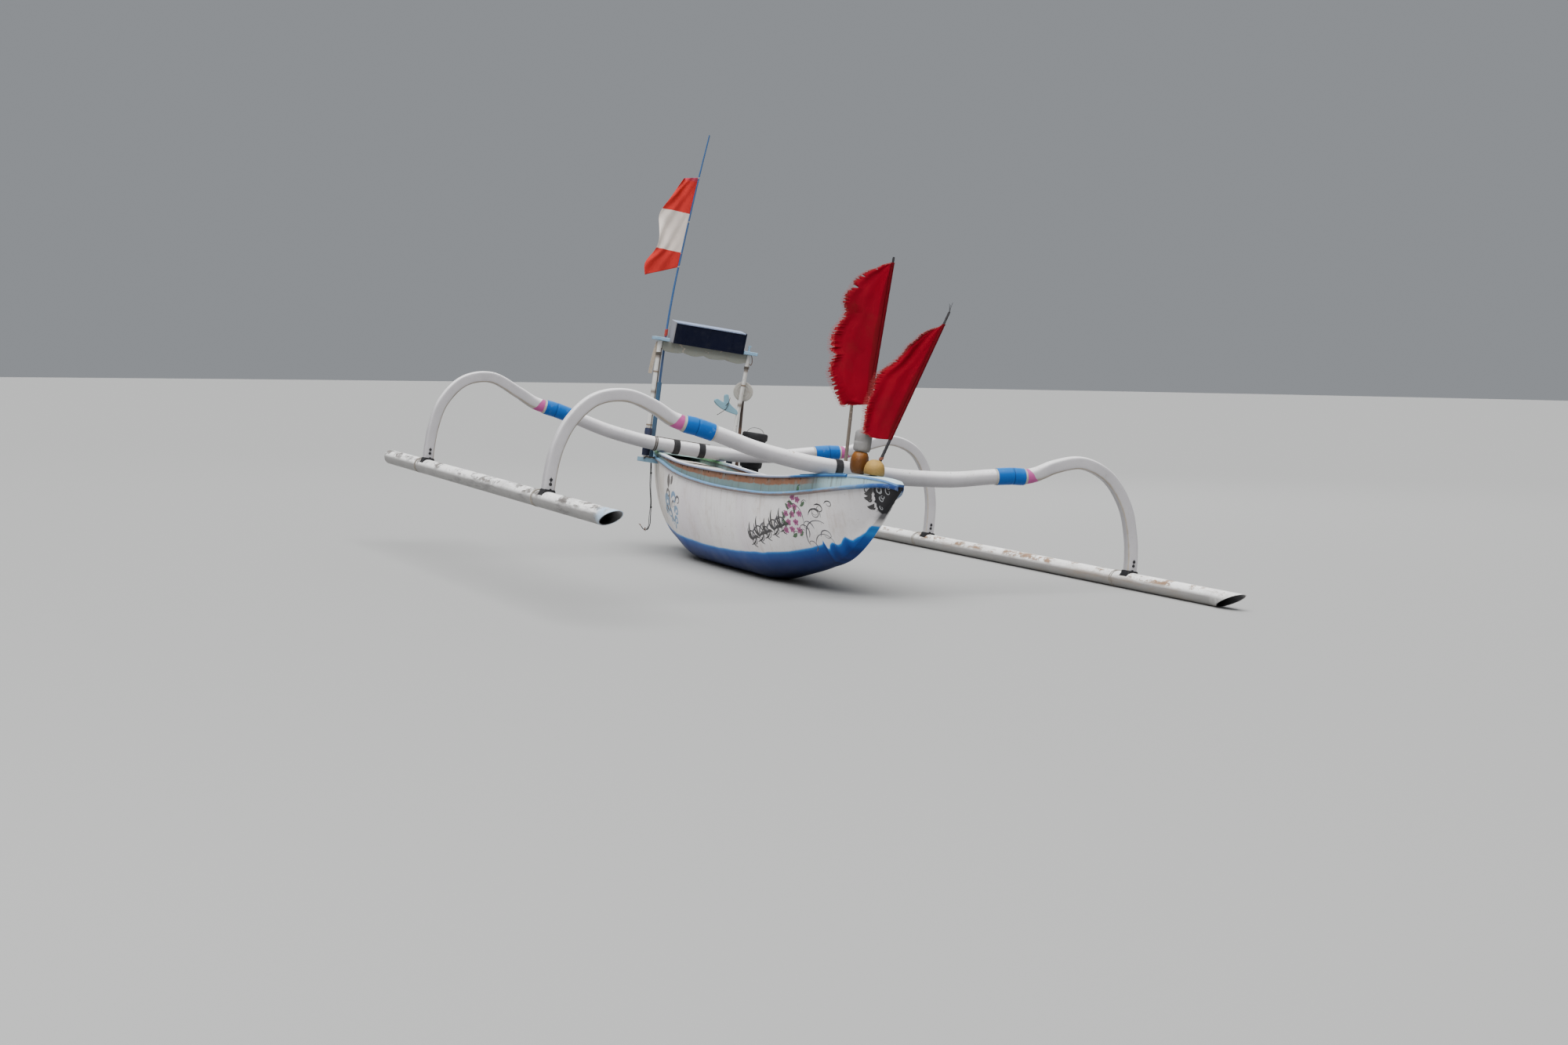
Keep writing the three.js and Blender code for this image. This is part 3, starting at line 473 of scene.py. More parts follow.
def hull_shape():
    """Outer skin and, in the well, inner skin as one closed form."""
    rings = []

    def ring(x, open_well):
        outer = both_sides(x, section(x))
        _, half, sheer, _, _ = HULL_LINES(x)
        if open_well:
            inner = section(x, HULL_WALL, HULL_FLOOR)
            inner[-1, 1] = sheer
            rings.append(outer + both_sides(x, inner)[::-1])
        else:
            across = np.linspace(half * 0.97, -half * 0.97, len(outer))
            rings.append(outer + [(x, y, sheer) for y in across])

    (stern, bow), (aft, fore) = HULL_ENDS, WELL
    for start, end, step, open_well in (
        (stern, aft, 30, False), (aft, fore, 40, True), (fore, bow, 24, False)
    ):
        for x in stations(start, end, step):
            ring(x, open_well)
    return loft(rings)


def strip(start, end, edge, side):
    """A strip along the hull; edge gives its section as (out from the half breadth, height)."""
    rings = []
    for x in stations(start, end, STRIP_STEP):
        _, half, sheer, rail, _ = HULL_LINES(x)
        rings.append([(x, side * (half + out), z) for out, z in edge(x, half, sheer, rail)])
    return loft(rings), len(rings[0])


def strip_marks(shape, count, values):
    """The same value for each corner of a strip's section, along its length."""
    points, _ = shape
    marks = np.tile(values, len(points) // count)
    return np.concatenate([marks, np.full(len(points) - len(marks), np.mean(values))])


# Upper edge of the blue bottom, in metres: x and height, from BLUE_AFT astern over a run of BLUE_RUN
BLUE_AFT, BLUE_RUN = 2.4, 5.0
BLUE_EDGE = (
    (-2.4, 0.42), (-1.8, 0.21), (-1.438, 0.166), (-1.08, 0.148), (-0.76, 0.136), (-0.2, 0.124),
    (0.315, 0.137), (0.793, 0.166), (1.18, 0.211), (1.428, 0.253), (1.56, 0.284), (1.625, 0.302),
    (1.652, 0.336), (1.666, 0.262), (1.700, 0.304), (1.733, 0.327), (1.775, 0.312), (1.812, 0.322),
    (1.872, 0.374), (1.93, 0.358), (2.014, 0.395), (2.07, 0.426), (2.12, 0.47), (2.45, 0.52),
)


def paint_line(p):
    """How far a point lies under the upper edge of the blue, in metres."""
    share = p.mul(p.plus(p.axis("X"), BLUE_AFT), 1 / BLUE_RUN)
    line = p.ramp(share, *[((x + BLUE_AFT) / BLUE_RUN, z) for x, z in BLUE_EDGE])
    soft = p.wobble(7, 4, 0.014)
    return p.minus(p.plus(line, soft), p.axis("Z"))


def hull_white(p):
    """Old white paint: lilac-grey patches, partly its own tone and partly painted shade, brown runs and
    stains, more of them towards the stern.
    """
    white = p.mix(p.noise(1.6, 4), (0.69, 0.665, 0.665), (0.84, 0.81, 0.80))
    # Lilac-grey patches: partly the paint's own tone, partly painted shade.
    white = p.patch(white, (0.62, 0.55, 0.60), p.noise(2.1, 3, shift=4.0), 0.50, 0.68, 0.5)
    stern = p.rise(p.mul(p.axis("X"), -0.4), 0.40, 0.80, 0.75)
    stain = p.mul(stern, p.rise(p.noise(6, 7, 0.7, stretch=(1, 1, 0.3)), 0.38, 0.62))
    white = p.mix(stain, white, (0.34, 0.26, 0.14))
    white = p.patch(white, (0.46, 0.37, 0.31), p.noise(5, 7, 0.7, shift=6.0), 0.53, 0.72, 0.45)
    white = p.patch(
        white, (0.42, 0.34, 0.28), p.noise(30, 4, 0.6, stretch=(1, 0.4, 0.04), shift=7.3), 0.57, 0.70, 0.35
    )
    flecks = p.rise(p.noise(85, 3, 0.5, shift=2.0), 0.67, 0.71, 0.6)
    return p.mix(flecks, white, (0.25, 0.2, 0.15))


def hull_paint():
    p = Paint("hull_paint")
    white = hull_white(p)
    drop = p.minus(p.axis("X"), -1.74)
    drop = p.fall(p.math("ABSOLUTE", drop), 0.015, 0.16)
    drip = p.mul(drop, p.rise(p.noise(24, 4, 0.6, stretch=(1, 0.3, 0.05)), 0.42, 0.60, 0.9))
    drip = p.mul(drip, p.rise(p.axis("Z"), 0.35, 0.6))
    white = p.mix(drip, white, (0.16, 0.12, 0.045))
    under = paint_line(p)
    depth = p.mul(p.plus(under, 0.05), 4.0)
    # The blue bottom over dark blue paint: its deepening to near black towards the keel is painted shade
    # under the hull.
    blue = p.ramp(
        depth,
        (0.17, (0.34, 0.52, 0.74)),
        (0.205, (0.02, 0.22, 0.60)),
        (0.25, (0.005, 0.07, 0.32)),
        (0.42, (0.002, 0.028, 0.17)),
        (0.66, (0.002, 0.011, 0.07)),
        (0.90, (0.004, 0.006, 0.014)),
    )
    scuffs = p.rise(p.noise(14, 9, 0.72, shift=8.0), 0.56, 0.75, 0.35)
    blue = p.mix(p.mul(scuffs, p.rise(depth, 0.4, 0.9, 0.7)), blue, (0.02, 0.02, 0.022))
    colour = p.patch(white, blue, depth, 0.165, 0.20)
    # Painted shade: grey over the white towards the bow, and near black down the stem's face.
    ahead = p.minus(p.axis("X"), 1.7)
    above = p.fall(depth, 0.0, 0.2)
    shadow = p.mul(p.rise(ahead, 0.0, 0.5, 0.6), above)
    colour = p.mix(shadow, colour, (0.33, 0.32, 0.34))
    stem_shade = p.math("ABSOLUTE", p.axis("Y"))
    stem_shade = p.mul(p.fall(stem_shade, 0.014, 0.036, 0.85), p.mul(p.rise(ahead, 0.3, 0.5), above))
    colour = p.mix(stem_shade, colour, (0.045, 0.045, 0.05))
    wavy = p.plus(p.axis("X"), p.mul(p.noise(34, 3), 0.06))
    tip = p.rise(p.minus(wavy, 2.0), 0.232, 0.240)
    tip = p.mul(tip, p.rise(p.plus(p.axis("Z"), p.mul(p.noise(30, 3, shift=3.0), 0.05)), 0.582, 0.592))
    colour = p.mix(p.mul(tip, 0.97), colour, (0.010, 0.010, 0.012))
    inside = p.math("GREATER_THAN", p.mark("inside"), 0.5)
    bilge = p.mix(p.noise(8, 8, 0.7), (0.30, 0.33, 0.32), (0.55, 0.57, 0.55))
    bilge = p.patch(bilge, (0.13, 0.10, 0.07), p.noise(5, 6, 0.7, shift=1.0), 0.45, 0.7, 0.8)
    colour = p.mix(inside, colour, bilge)
    height = p.plus(p.noise(90, 5, 0.6), p.mul(p.noise(3.0, 2), 9.0))
    rough = p.plus(p.mul(p.noise(5, 3), 0.25), 0.26)
    return p.done(colour, rough, p.bump(height, 0.0007), Specular_IOR_Level=0.12)


def add_hull():
    shape = hull_shape()
    x = shape[0][:, 0]
    count = len(both_sides(0, section(0)))
    inner = np.arange(len(x)) % (2 * count) >= count
    inside = inner & (x > WELL[0] - 1) & (x < WELL[1] + 1)
    add(
        "dugout_hull", shape, hull_paint(), "hull_paint", ["hull_shell"], smooth=30,
        marks={"inside": inside},
    )


# The hull's skin as a grid, for what is painted on it
SKIN_STEP_X, SKIN_STEP_Z, SKIN_HIGH = 10.0, 4.0, 780
SKIN_X = np.arange(HULL_ENDS[0], HULL_ENDS[1] + 1, SKIN_STEP_X)
SKIN_Z = np.arange(0, SKIN_HIGH, SKIN_STEP_Z)
SLOPE_REACH = 6
PAINT_OUT, PAINT_IN = 0.9, 1.5
SKIN_Y = np.array(
    [np.interp(SKIN_Z, line[:, 1], line[:, 0]) for line in (section(x, steps=60) for x in SKIN_X)]
)


def on_hull(x, z, side):
    """The point of the hull's side at a station and a height, and the way out of it."""

    def reach(x, z):
        i = min(max((x - SKIN_X[0]) / SKIN_STEP_X, 0), len(SKIN_X) - 1.001)
        k = min(max(z / SKIN_STEP_Z, 0), len(SKIN_Z) - 1.001)
        a, b = int(i), int(k)
        u, v = i - a, k - b
        low = SKIN_Y[a, b] * (1 - v) + SKIN_Y[a, b + 1] * v
        return low * (1 - u) + (SKIN_Y[a + 1, b] * (1 - v) + SKIN_Y[a + 1, b + 1] * v) * u

    step = SLOPE_REACH
    slope_x = (reach(x + step, z) - reach(x - step, z)) / (2 * step)
    slope_z = (reach(x, z + step) - reach(x, z - step)) / (2 * step)
    normal = np.array([-slope_x, side, -slope_z])
    return np.array([x, side * reach(x, z), z]), normal / np.linalg.norm(normal)


def ribbon(path, widths, side, across=5):
    """A painted line laid on the hull's skin, from (x, z) points and its width at each."""
    way = np.gradient(path, axis=0)
    way /= np.linalg.norm(way, axis=1)[:, None] + 1e-9
    rings = []
    for (x, z), (dx, dz), wide in zip(path, way, widths):
        top, low = [], []
        for f in np.linspace(-0.5, 0.5, across):
            point, out = on_hull(x - dz * f * wide, z + dx * f * wide, side)
            top.append(point + out * PAINT_OUT)
            low.append(point - out * PAINT_IN)
        rings.append(top + low[::-1])
    return loft(rings)


def stroke(x, z, length, heading, bend, wide, leaf):
    """A brush stroke that curls more and more along its way: its path and widths."""
    steps = 30
    stretch = SCROLL_STRETCH if x < BOW_FROM else BOW_STRETCH
    t = np.arange(steps + 1) / steps
    headings = np.radians(heading + bend * t**1.5)
    moves = np.stack([np.cos(headings) * stretch, np.sin(headings)], 1) * length / steps
    path = np.array([x, z]) + np.concatenate([[[0, 0]], np.cumsum(moves[:-1], axis=0)])
    if leaf:
        widths = wide * np.sin(math.pi * np.clip(t, 0.03, 0.98)) ** 0.8
    else:
        widths = wide * np.minimum(1, 5 * t + 0.2) * (1 - 0.8 * t)
    return path, np.maximum(widths, 1.5)


# Ornaments of a common kind: leaves and wave scrolls, blossoms, and curls. Strokes are stretched along
# the boat, and less so ahead of BOW_FROM
SCROLL_STRETCH, BOW_STRETCH, BOW_FROM = 1.7, 1.1, 2000
INK, ASH, MAUVE, MOSS, SKY, EARTH, CHALK = "ink", "ash", "mauve", "moss", "sky", "earth", "chalk"

# One spray of leaves: heading, bend, length, width and colour of each
LEAF_FAN = (
    (150, -80, 92, 21, INK), (120, -56, 124, 20, INK), (88, -70, 112, 16, ASH), (54, -96, 80, 20, INK)
)
# Middles of the blossoms, and places and headings of the leaves between them
BLOSSOMS = (
    (1230, 350), (1275, 404), (1246, 456), (1312, 362), (1330, 458), (1296, 512), (1372, 412), (1366, 508),
    (1402, 556), (1424, 470), (1404, 364), (1336, 566),
)
SPRIGS = (
    (1256, 380, 130), (1300, 430, 60), (1300, 316, 20), (1360, 462, 80), (1222, 420, 100), (1390, 600, 70),
    (1344, 520, 150), (1440, 520, 30), (1396, 330, 40), (1280, 480, 110),
)
# Curls, with their start, length, heading, bend, width and colour
BOW_CURLS = (
    (1478, 290, 250, 96, -130, 13, ASH), (1500, 330, 170, 62, 300, 9, INK),
    (1536, 470, 190, 76, -380, 12, INK), (1584, 392, 150, 110, 300, 8, ASH),
    (1612, 540, 150, 30, -400, 12, INK), (1676, 470, 150, 84, 340, 8, ASH),
    (1524, 250, 120, 40, 260, 9, ASH), (1730, 560, 110, 60, -360, 9, INK),
    (1470, 420, 180, 92, 120, 8, ASH), (1640, 350, 160, 80, -340, 9, ASH),
    (1560, 300, 200, 72, -200, 7, ASH),
)
STERN_CURLS = (
    (-1150, 452, 230, 262, 60, 44, EARTH), (-1100, 400, 190, 60, -330, 44, SKY),
    (-1190, 330, 250, 84, 330, 48, SKY), (-1010, 300, 180, 74, -400, 38, SKY),
    (-1160, 232, 220, 40, 380, 46, SKY), (-1030, 232, 160, 78, -380, 34, SKY),
    (-1230, 300, 180, 100, 400, 36, ASH), (-960, 372, 150, 84, -300, 26, ASH),
    (-1060, 190, 120, 30, 300, 30, SKY), (-1270, 400, 170, 96, -340, 34, EARTH),
    (-1320, 350, 170, 80, -360, 34, SKY), (-1290, 270, 150, 70, 340, 30, SKY),
    (-1080, 330, 130, 100, -280, 24, EARTH),
)
# Light curls on the dark tip of the bow
TIP_CURLS = (
    (2236, 716, 92, 258, 290, 9, CHALK), (2272, 714, 96, 268, -310, 9, CHALK),
    (2312, 718, 80, 246, 260, 8, CHALK), (2250, 662, 74, 250, 330, 8, CHALK),
    (2290, 668, 60, 262, -300, 7, CHALK), (2240, 606, 52, 240, 300, 7, CHALK),
    (2352, 724, 50, 240, -260, 6, CHALK),
)
# Whole strokes: start, length, heading, bend, width, whether it is a leaf, and colour. Two dabs at the
# stern, and leaves and curls behind the dark tip
DABS = ((-1190, 470, 104, 96, -20, 92, True, EARTH), (-1120, 500, 70, 60, 20, 60, True, EARTH))
TIP_LEAVES = (
    (2200, 716, 90, 250, -80, 34, True, INK), (2188, 664, 70, 236, -90, 28, True, INK),
    (2196, 612, 66, 240, -100, 26, True, INK), (2180, 700, 100, 262, -330, 15, False, INK),
    (2186, 640, 84, 250, -340, 13, False, INK), (2200, 590, 64, 236, -320, 12, False, INK),
)


def curls(table):
    """A table of curls as whole strokes."""
    return [(*row[:-1], False, row[-1]) for row in table]


def middle_strokes():
    rows = []
    for k in range(5):
        x, z = 690 + 118 * k, 212 + 31 * k
        tall = 1 + 0.16 * math.sin(2.3 * k)
        for heading, bend, long, wide, colour in LEAF_FAN:
            rows.append((x + heading / 6, z + 26, long * tall, heading, bend, wide, True, colour))
        rows.append((x - 24, z - 6, 260 * tall, 20, 440, 15, False, INK))
        rows.append((x + 30, z - 2, 160 * tall, 26, 420, 8, False, ASH))
        rows.append((x + 70, z - 14, 130, 165, -280, 9, False, INK))
    for x, z in BLOSSOMS:
        for turn in range(0, 360, 72):
            rows.append((x, z, 22, turn + x % 50, 20, 21, True, MAUVE))
        rows.append((x - 8, z, 9, 0, 0, 12, True, INK))
    for x, z, turn in SPRIGS:
        rows.append((x, z, 48, turn, 40, 24, True, MOSS))
        rows.append((x + 18, z + 10, 62, turn + 60, -160, 7, False, INK))
    return rows + curls(BOW_CURLS)


def end_strokes():
    return [*DABS, *curls(STERN_CURLS), *TIP_LEAVES, *curls(TIP_CURLS)]


STROKE_PAINTS = {
    INK: (0.014, 0.014, 0.017),
    ASH: (0.075, 0.075, 0.09),
    MAUVE: (0.36, 0.07, 0.22),
    MOSS: (0.04, 0.12, 0.045),
    SKY: (0.17, 0.30, 0.46),
    EARTH: (0.11, 0.095, 0.09),
    CHALK: (0.36, 0.37, 0.39),
}


def add_ornaments():
    for shade, base in STROKE_PAINTS.items():
        paint = aged(
            f"brush_{shade}", base, dirt=0.15, soil=(0.4, 0.37, 0.35), rough=0.45, vary=0.3, fleck=0.3
        )
        for side, sign in SIDES.items():
            shapes = []
            for x, z, length, turn, bend, wide, leaf, colour in middle_strokes() + end_strokes():
                if colour == shade:
                    shapes.append(ribbon(*stroke(x, z, length, turn, bend, wide, leaf), sign))
            add(f"scrolls_{shade}_{side}", join(*shapes), paint, "hull_paint", smooth=60)


def strake_paint():
    """Grey-green with a rusty upper edge; pale cyan forward, and green at the stern."""
    p = Paint("strake_paint")
    base = p.mix(p.noise(3, 6, 0.65), (0.10, 0.155, 0.155), (0.20, 0.28, 0.275))
    height = p.plus(p.mark("up"), p.wobble(12, 5, 0.3))
    rust = p.rise(height, 0.50, 0.58)
    rust = p.mul(rust, p.ramp(p.noise(6, 7, 0.72, shift=3.0), (0.28, 0.3), (0.46, 1.0)))
    brown = p.mix(p.noise(22, 6, 0.7), (0.12, 0.045, 0.022), (0.30, 0.15, 0.09))
    along = p.along()
    rust = p.mul(rust, p.ramp(along, (0.16, 0.0), (0.26, 1.0), (0.78, 1.0), (0.86, 0.0)))
    colour = p.mix(rust, base, brown)
    spots = p.fall(p.cells(9, (1, 0.1, 0.4)), 0.09, 0.12)
    spots = p.mul(spots, p.rise(height, 0.35, 0.5))
    colour = p.mix(p.mul(spots, 0.9), colour, (0.04, 0.025, 0.02))
    cyan = p.mix(p.noise(4, 5), (0.30, 0.44, 0.47), (0.46, 0.63, 0.67))
    colour = p.patch(colour, cyan, along, 0.80, 0.87, 0.85)
    green = p.mul(p.fall(along, 0.02, 0.17), p.ramp(p.noise(9, 6), (0.4, 0.2), (0.6, 1.0)))
    colour = p.mix(green, colour, (0.10, 0.22, 0.12))
    colour = p.patch(
        colour, (0.13, 0.095, 0.06), p.noise(34, 4, 0.6, stretch=(1, 0.4, 0.05), shift=5.0), 0.54, 0.66, 0.6
    )
    bump = p.bump(p.noise(60, 6, 0.65, stretch=(0.15, 1, 1)), 0.0012)
    return p.done(colour, 0.62, bump)


RAIL_WHITE = (0.66, 0.69, 0.75)
WASHSTRAKE_RUN = {"aft": (-2380, -140.3), "fore": (-140, 2330)}
CAP_RAIL_RUN = {"aft": (-2395, 259.7), "fore": (260, 1972)}
RUB_RAIL_RUN = (-2400, 2430)
RUB_RAIL_FADE = 260
RAIL_BOARD_RUN, RAIL_BOARD_IN, RAIL_BOARD_TOP = (1420, 1955), -40, 4.5
NAIL_RUN, NAIL_HEAD = (-1580, 1480, 176), [(5.5, -2), (5.5, 1.4), (3.6, 2.4)]


def plank_edge(x, half, sheer, rail):
    low, high = sheer + SEAT, rail - RAIL_THICK - SEAT
    return [(-20, low), (-2, low), (-1, (low + high) / 2), (-2, high), (-20, high)]


def rub_edge(x, half, sheer, rail):
    top = min(sheer + 9, rail - RAIL_THICK - SEAT)
    full = min(1, 0.3 + min(x - RUB_RAIL_RUN[0], RUB_RAIL_RUN[1] - x) / RUB_RAIL_FADE)
    shape = ((12, -26), (17, -25), (21, -21), (23, -15), (23, -10), (21, -5), (17, -1.5), (12, 0))
    return [(SEAT, top - 26)] + [(out * full, top + up) for out, up in shape] + [(SEAT, top)]


def cap_edge(x, half, sheer, rail):
    low, out = rail - RAIL_THICK, RAIL_OUT
    back = max(RAIL_OUT - RAIL_WIDE, 1 - half)
    return [
        (out - 2, low), (out, low + 3), (out, rail - 6), (out - 1.5, rail - 2.5), (out - 5, rail),
        (back + 4, rail), (back + 1, rail - 1.5), (back, rail - 4), (back, low),
    ]


def board_edge(x, half, sheer, rail):
    low, high, out = rail + SEAT, rail + RAIL_BOARD_TOP, RAIL_OUT + 1
    return [(out, low), (out, high), (RAIL_BOARD_IN, high), (RAIL_BOARD_IN, low)]


def add_sides():
    strake, rub = strake_paint(), rub_paint()
    cap = aged(
        "cap_paint", RAIL_WHITE, (0.33, 0.27, 0.2), 0.35, dirt=0.3, grain=0.18, fleck=0.5, rough=0.5,
        finish=cap_edges,
    )
    for side, sign in SIDES.items():
        for part, (start, end) in WASHSTRAKE_RUN.items():
            shape, n = strip(start, end, plank_edge, sign)
            marks = strip_marks(shape, n, [0, 0, 0.5, 1, 1])
            add(
                f"side_plank_{part}_{side}", shape, strake, "strake_paint", [f"washstrake_{part}_{side}"],
                marks={"up": marks},
            )
        shape, n = strip(*RUB_RAIL_RUN, rub_edge, sign)
        marks = strip_marks(shape, n, [0, 0, 0.06, 0.2, 0.42, 0.6, 0.8, 0.95, 1, 1])
        add(
            f"rub_strake_{side}", shape, rub, "blue_paint", [f"rub_rail_{side}"], smooth=50,
            marks={"up": marks},
        )
        for part, (start, end) in CAP_RAIL_RUN.items():
            shape, _ = strip(start, end, cap_edge, sign)
            add(f"top_rail_{part}_{side}", shape, cap, "rail_paint", [f"cap_rail_{part}_{side}"], smooth=50)
        add_nails(side, sign)
        blue = aged(f"rail_board_{side}", (0.05, 0.20, 0.42), (0.3, 0.32, 0.32), 0.5, dirt=0.4, grain=0.3)
        shape, _ = strip(*RAIL_BOARD_RUN, board_edge, sign)
        add(f"rail_board_{side}", shape, blue, "blue_paint", bevel=0.8)


def add_nails(side, sign):
    """Rusty nail heads along the side plank, under the rail."""
    heads = []
    for k, x in enumerate(np.arange(*NAIL_RUN)):
        x = x + 40 * math.sin(3.7 * k)
        _, half, _, rail, _ = HULL_LINES(x)
        place = (x, sign * (half - 1.6), rail - RAIL_THICK - 11 - 3 * math.sin(5 * k))
        heads.append(turned(NAIL_HEAD, place, (0, sign, 0), 10))
    rust = aged(f"nail_rust_{side}", (0.055, 0.03, 0.02), dirt=0.2, rough=0.8)
    add(f"nail_heads_{side}", join(*heads), rust, "strake_paint")


def rub_paint():
    """Blue on its upper half, worn brown and grey below."""
    p = Paint("rub_paint")
    along = p.along()
    base = p.ramp(
        along,
        (0.0, (0.10, 0.22, 0.32)),
        (0.55, (0.12, 0.25, 0.42)),
        (0.78, (0.10, 0.26, 0.46)),
        (0.90, (0.10, 0.24, 0.42)),
        (0.95, (0.02, 0.07, 0.24)),
        (1.0, (0.01, 0.02, 0.08)),
    )
    worn = p.mix(p.noise(30, 4), (0.22, 0.23, 0.22), (0.40, 0.47, 0.49))
    colour = p.patch(base, worn, p.noise(16, 8, 0.7), 0.50, 0.66, 0.6)
    low = p.plus(p.mark("up"), p.wobble(9, 5, 0.5))
    low = p.fall(low, 0.40, 0.56)
    low = p.mul(low, p.fall(along, 0.86, 0.93))
    colour = p.mix(low, colour, p.mix(p.noise(18, 5), (0.14, 0.105, 0.10), (0.27, 0.21, 0.20)))
    return p.done(colour, 0.5, p.bump(p.noise(60, 6, 0.65, stretch=(0.2, 1, 1)), 0.001))


def cap_edges(p, colour):
    """Blue on the rail's outer edge and forward, with a painted highlight on the forward blue's top; green at
    the stern.
    """
    low = p.fall(p.facing_up(), 0.30, 0.62, 0.85)
    colour = p.mix(low, colour, p.mix(p.noise(10, 5), (0.10, 0.13, 0.25), (0.30, 0.36, 0.50)))
    along = p.along()
    wander = p.plus(along, p.wobble(9, 5, 0.05))
    # The forward blue, lighter on its top: a painted highlight.
    blue = p.patch((0.02, 0.085, 0.24), (0.07, 0.26, 0.52), p.facing_up(), 0.2, 0.6)
    colour = p.patch(colour, blue, wander, 0.75, 0.77)
    green = p.mix(p.noise(14, 6), (0.05, 0.16, 0.07), (0.16, 0.33, 0.18))
    return p.mix(p.fall(wander, 0.17, 0.21), colour, green)


# Decks and thwarts
DECK_BREAK, DECK_CROWN, DECK_OVER = 1980, 12, 5
FOREDECK, STERN_DECK = (1480, 2438), (-2320, -1905)
THWARTS, THWART_WIDE, THWART_THICK = (("thwart_fore", 620), ("thwart_aft", -620)), 150, 22


def deck_crown(x):
    return DECK_CROWN * min(1, (FOREDECK[1] + 7 - x) / 300)


def deck_ring(x, half, crown):
    rail = HULL_LINES(x)[3]
    low = rail - RAIL_THICK
    across = np.linspace(-1, 1, 17)
    camber = np.where(np.abs(across) < 0.5, 1 - 0.5 * np.abs(across), 1.5 * (1 - np.abs(across)))
    top = [(x, half * y, rail - 1.5 * abs(y) ** 8 + crown * c) for y, c in zip(across, camber)]
    return [(x, -half, low)] + top + [(x, half, low)]


def deck_height(x, y):
    _, half, _, rail, _ = HULL_LINES(x)
    if x < DECK_BREAK:
        return rail
    out = abs(y) / (half + DECK_OVER)
    return rail + deck_crown(x) * (1 - 0.5 * out if out < 0.5 else 1.5 * (1 - out))


def deck_under(x, y, radius):
    """Height of the foredeck under a round foot."""
    spots = [(x, y)] + [(x + radius * math.cos(a), y + radius * math.sin(a)) for a in around(12)]
    return max(deck_height(*spot) for spot in spots)


def add_decks():
    deck = aged(
        "deck_paint", (0.50, 0.68, 0.74), (0.50, 0.54, 0.52), 0.45, dirt=0.3, soil=(0.24, 0.22, 0.17),
        grain=0.12, fleck=0.35, vary=0.2, finish=deck_finish,
    )
    inside = lambda x: max(HULL_LINES(x)[1] + RAIL_OUT - RAIL_WIDE - 1, 6)
    rings = [deck_ring(x, inside(x), 0) for x in stations(FOREDECK[0], DECK_BREAK - 6, 40)]
    rings += [
        deck_ring(x, HULL_LINES(x)[1] + DECK_OVER, deck_crown(x))
        for x in stations(DECK_BREAK, FOREDECK[1], 20)
    ]
    add("foredeck_boards", loft(rings), deck, "deck_paint", ["foredeck"], smooth=40, bevel=2)
    rings = [deck_ring(x, inside(x), 0) for x in stations(*STERN_DECK, 40)]
    add("stern_deck_boards", loft(rings), deck, "deck_paint", ["stern_deck"], smooth=40)


def deck_finish(p, colour):
    """A blue line along the foredeck's lower edge, and blue at its tip; green on the stern's deck."""
    along = p.along()
    low = p.mul(p.fall(p.facing_up(), 0.35, 0.6), p.rise(along, 0.88, 0.92, 0.8))
    colour = p.mix(low, colour, (0.06, 0.20, 0.50))
    colour = p.patch(colour, (0.015, 0.03, 0.10), along, 0.982, 0.988)
    return p.mix(
        p.fall(along, 0.1, 0.14, 0.8), colour, p.mix(p.noise(12, 5), (0.07, 0.18, 0.10), (0.30, 0.42, 0.36))
    )


def thwart_shape(x):
    wide, thick = THWART_WIDE, THWART_THICK
    middle = HULL_LINES(x)[2] - 14 - thick / 2
    rings = []
    for y in np.linspace(-1, 1, 9):
        corners = []
        for dx, dz in ((-1, -1), (1, -1), (1, 1), (-1, 1)):
            z = middle + dz * thick / 2
            inner = section(x + dx * wide / 2, HULL_WALL, HULL_FLOOR)
            corners.append((x + dx * wide / 2, y * (np.interp(z, inner[:, 1], inner[:, 0]) - 1), z))
        rings.append(corners)
    return loft(rings)


def add_thwarts():
    wood = aged(
        "thwart_wood", (0.24, 0.25, 0.255), (0.30, 0.23, 0.16), 0.6, dirt=0.5, grain=0.55, vary=0.25,
        rough=0.65,
    )
    for name, x in THWARTS:
        add(name + "_board", thwart_shape(x), wood, "board_paint", [name], bevel=2.5)


# Floats: off the centreline, over the keel, spread and drop for each millimetre forward, and ends
PORT_SPREAD = 0.0097
FLOATS = {
    "port": (2036, 348.8, PORT_SPREAD, -PORT_SPREAD * math.tan(HEEL), -3000, 3128),
    "starboard": (1980, 345, -0.0018, 0.0076, -2900, 3175),
}
FLOAT_R, FLOAT_SCARF, FLOAT_BORE, FLOAT_WALL = 54, 300, 430, 7
FOOT_PAD = 12
PIPE_SIDES, BORE_RINGS = 40, 4
LASHINGS_AFT = (138, 162)
BOLT_HEAD = [(8, 0), (10, 1), (10, 4), (6, 7)]
BEAM_X = {"front": 1650, "rear": -1650}


def float_at(side, x):
    y, z, spread, drop, _, _ = FLOATS[side]
    return y + spread * x, z - drop * x


# Beams: off the centreline, height of the front one and of the rear one, width, depth, squareness
BEAM_ROWS = [
    (0, 794, 772, 106, 106, 2), (300, 797, 776, 106, 106, 2), (450, 808, 788, 105, 105, 2),
    (690, 836, 820, 103, 103, 2), (958, 892, 881, 100, 100, 2), (1095, 916, 909, 99, 99, 2),
    (1190, 926, 922, 99, 99, 2),
]
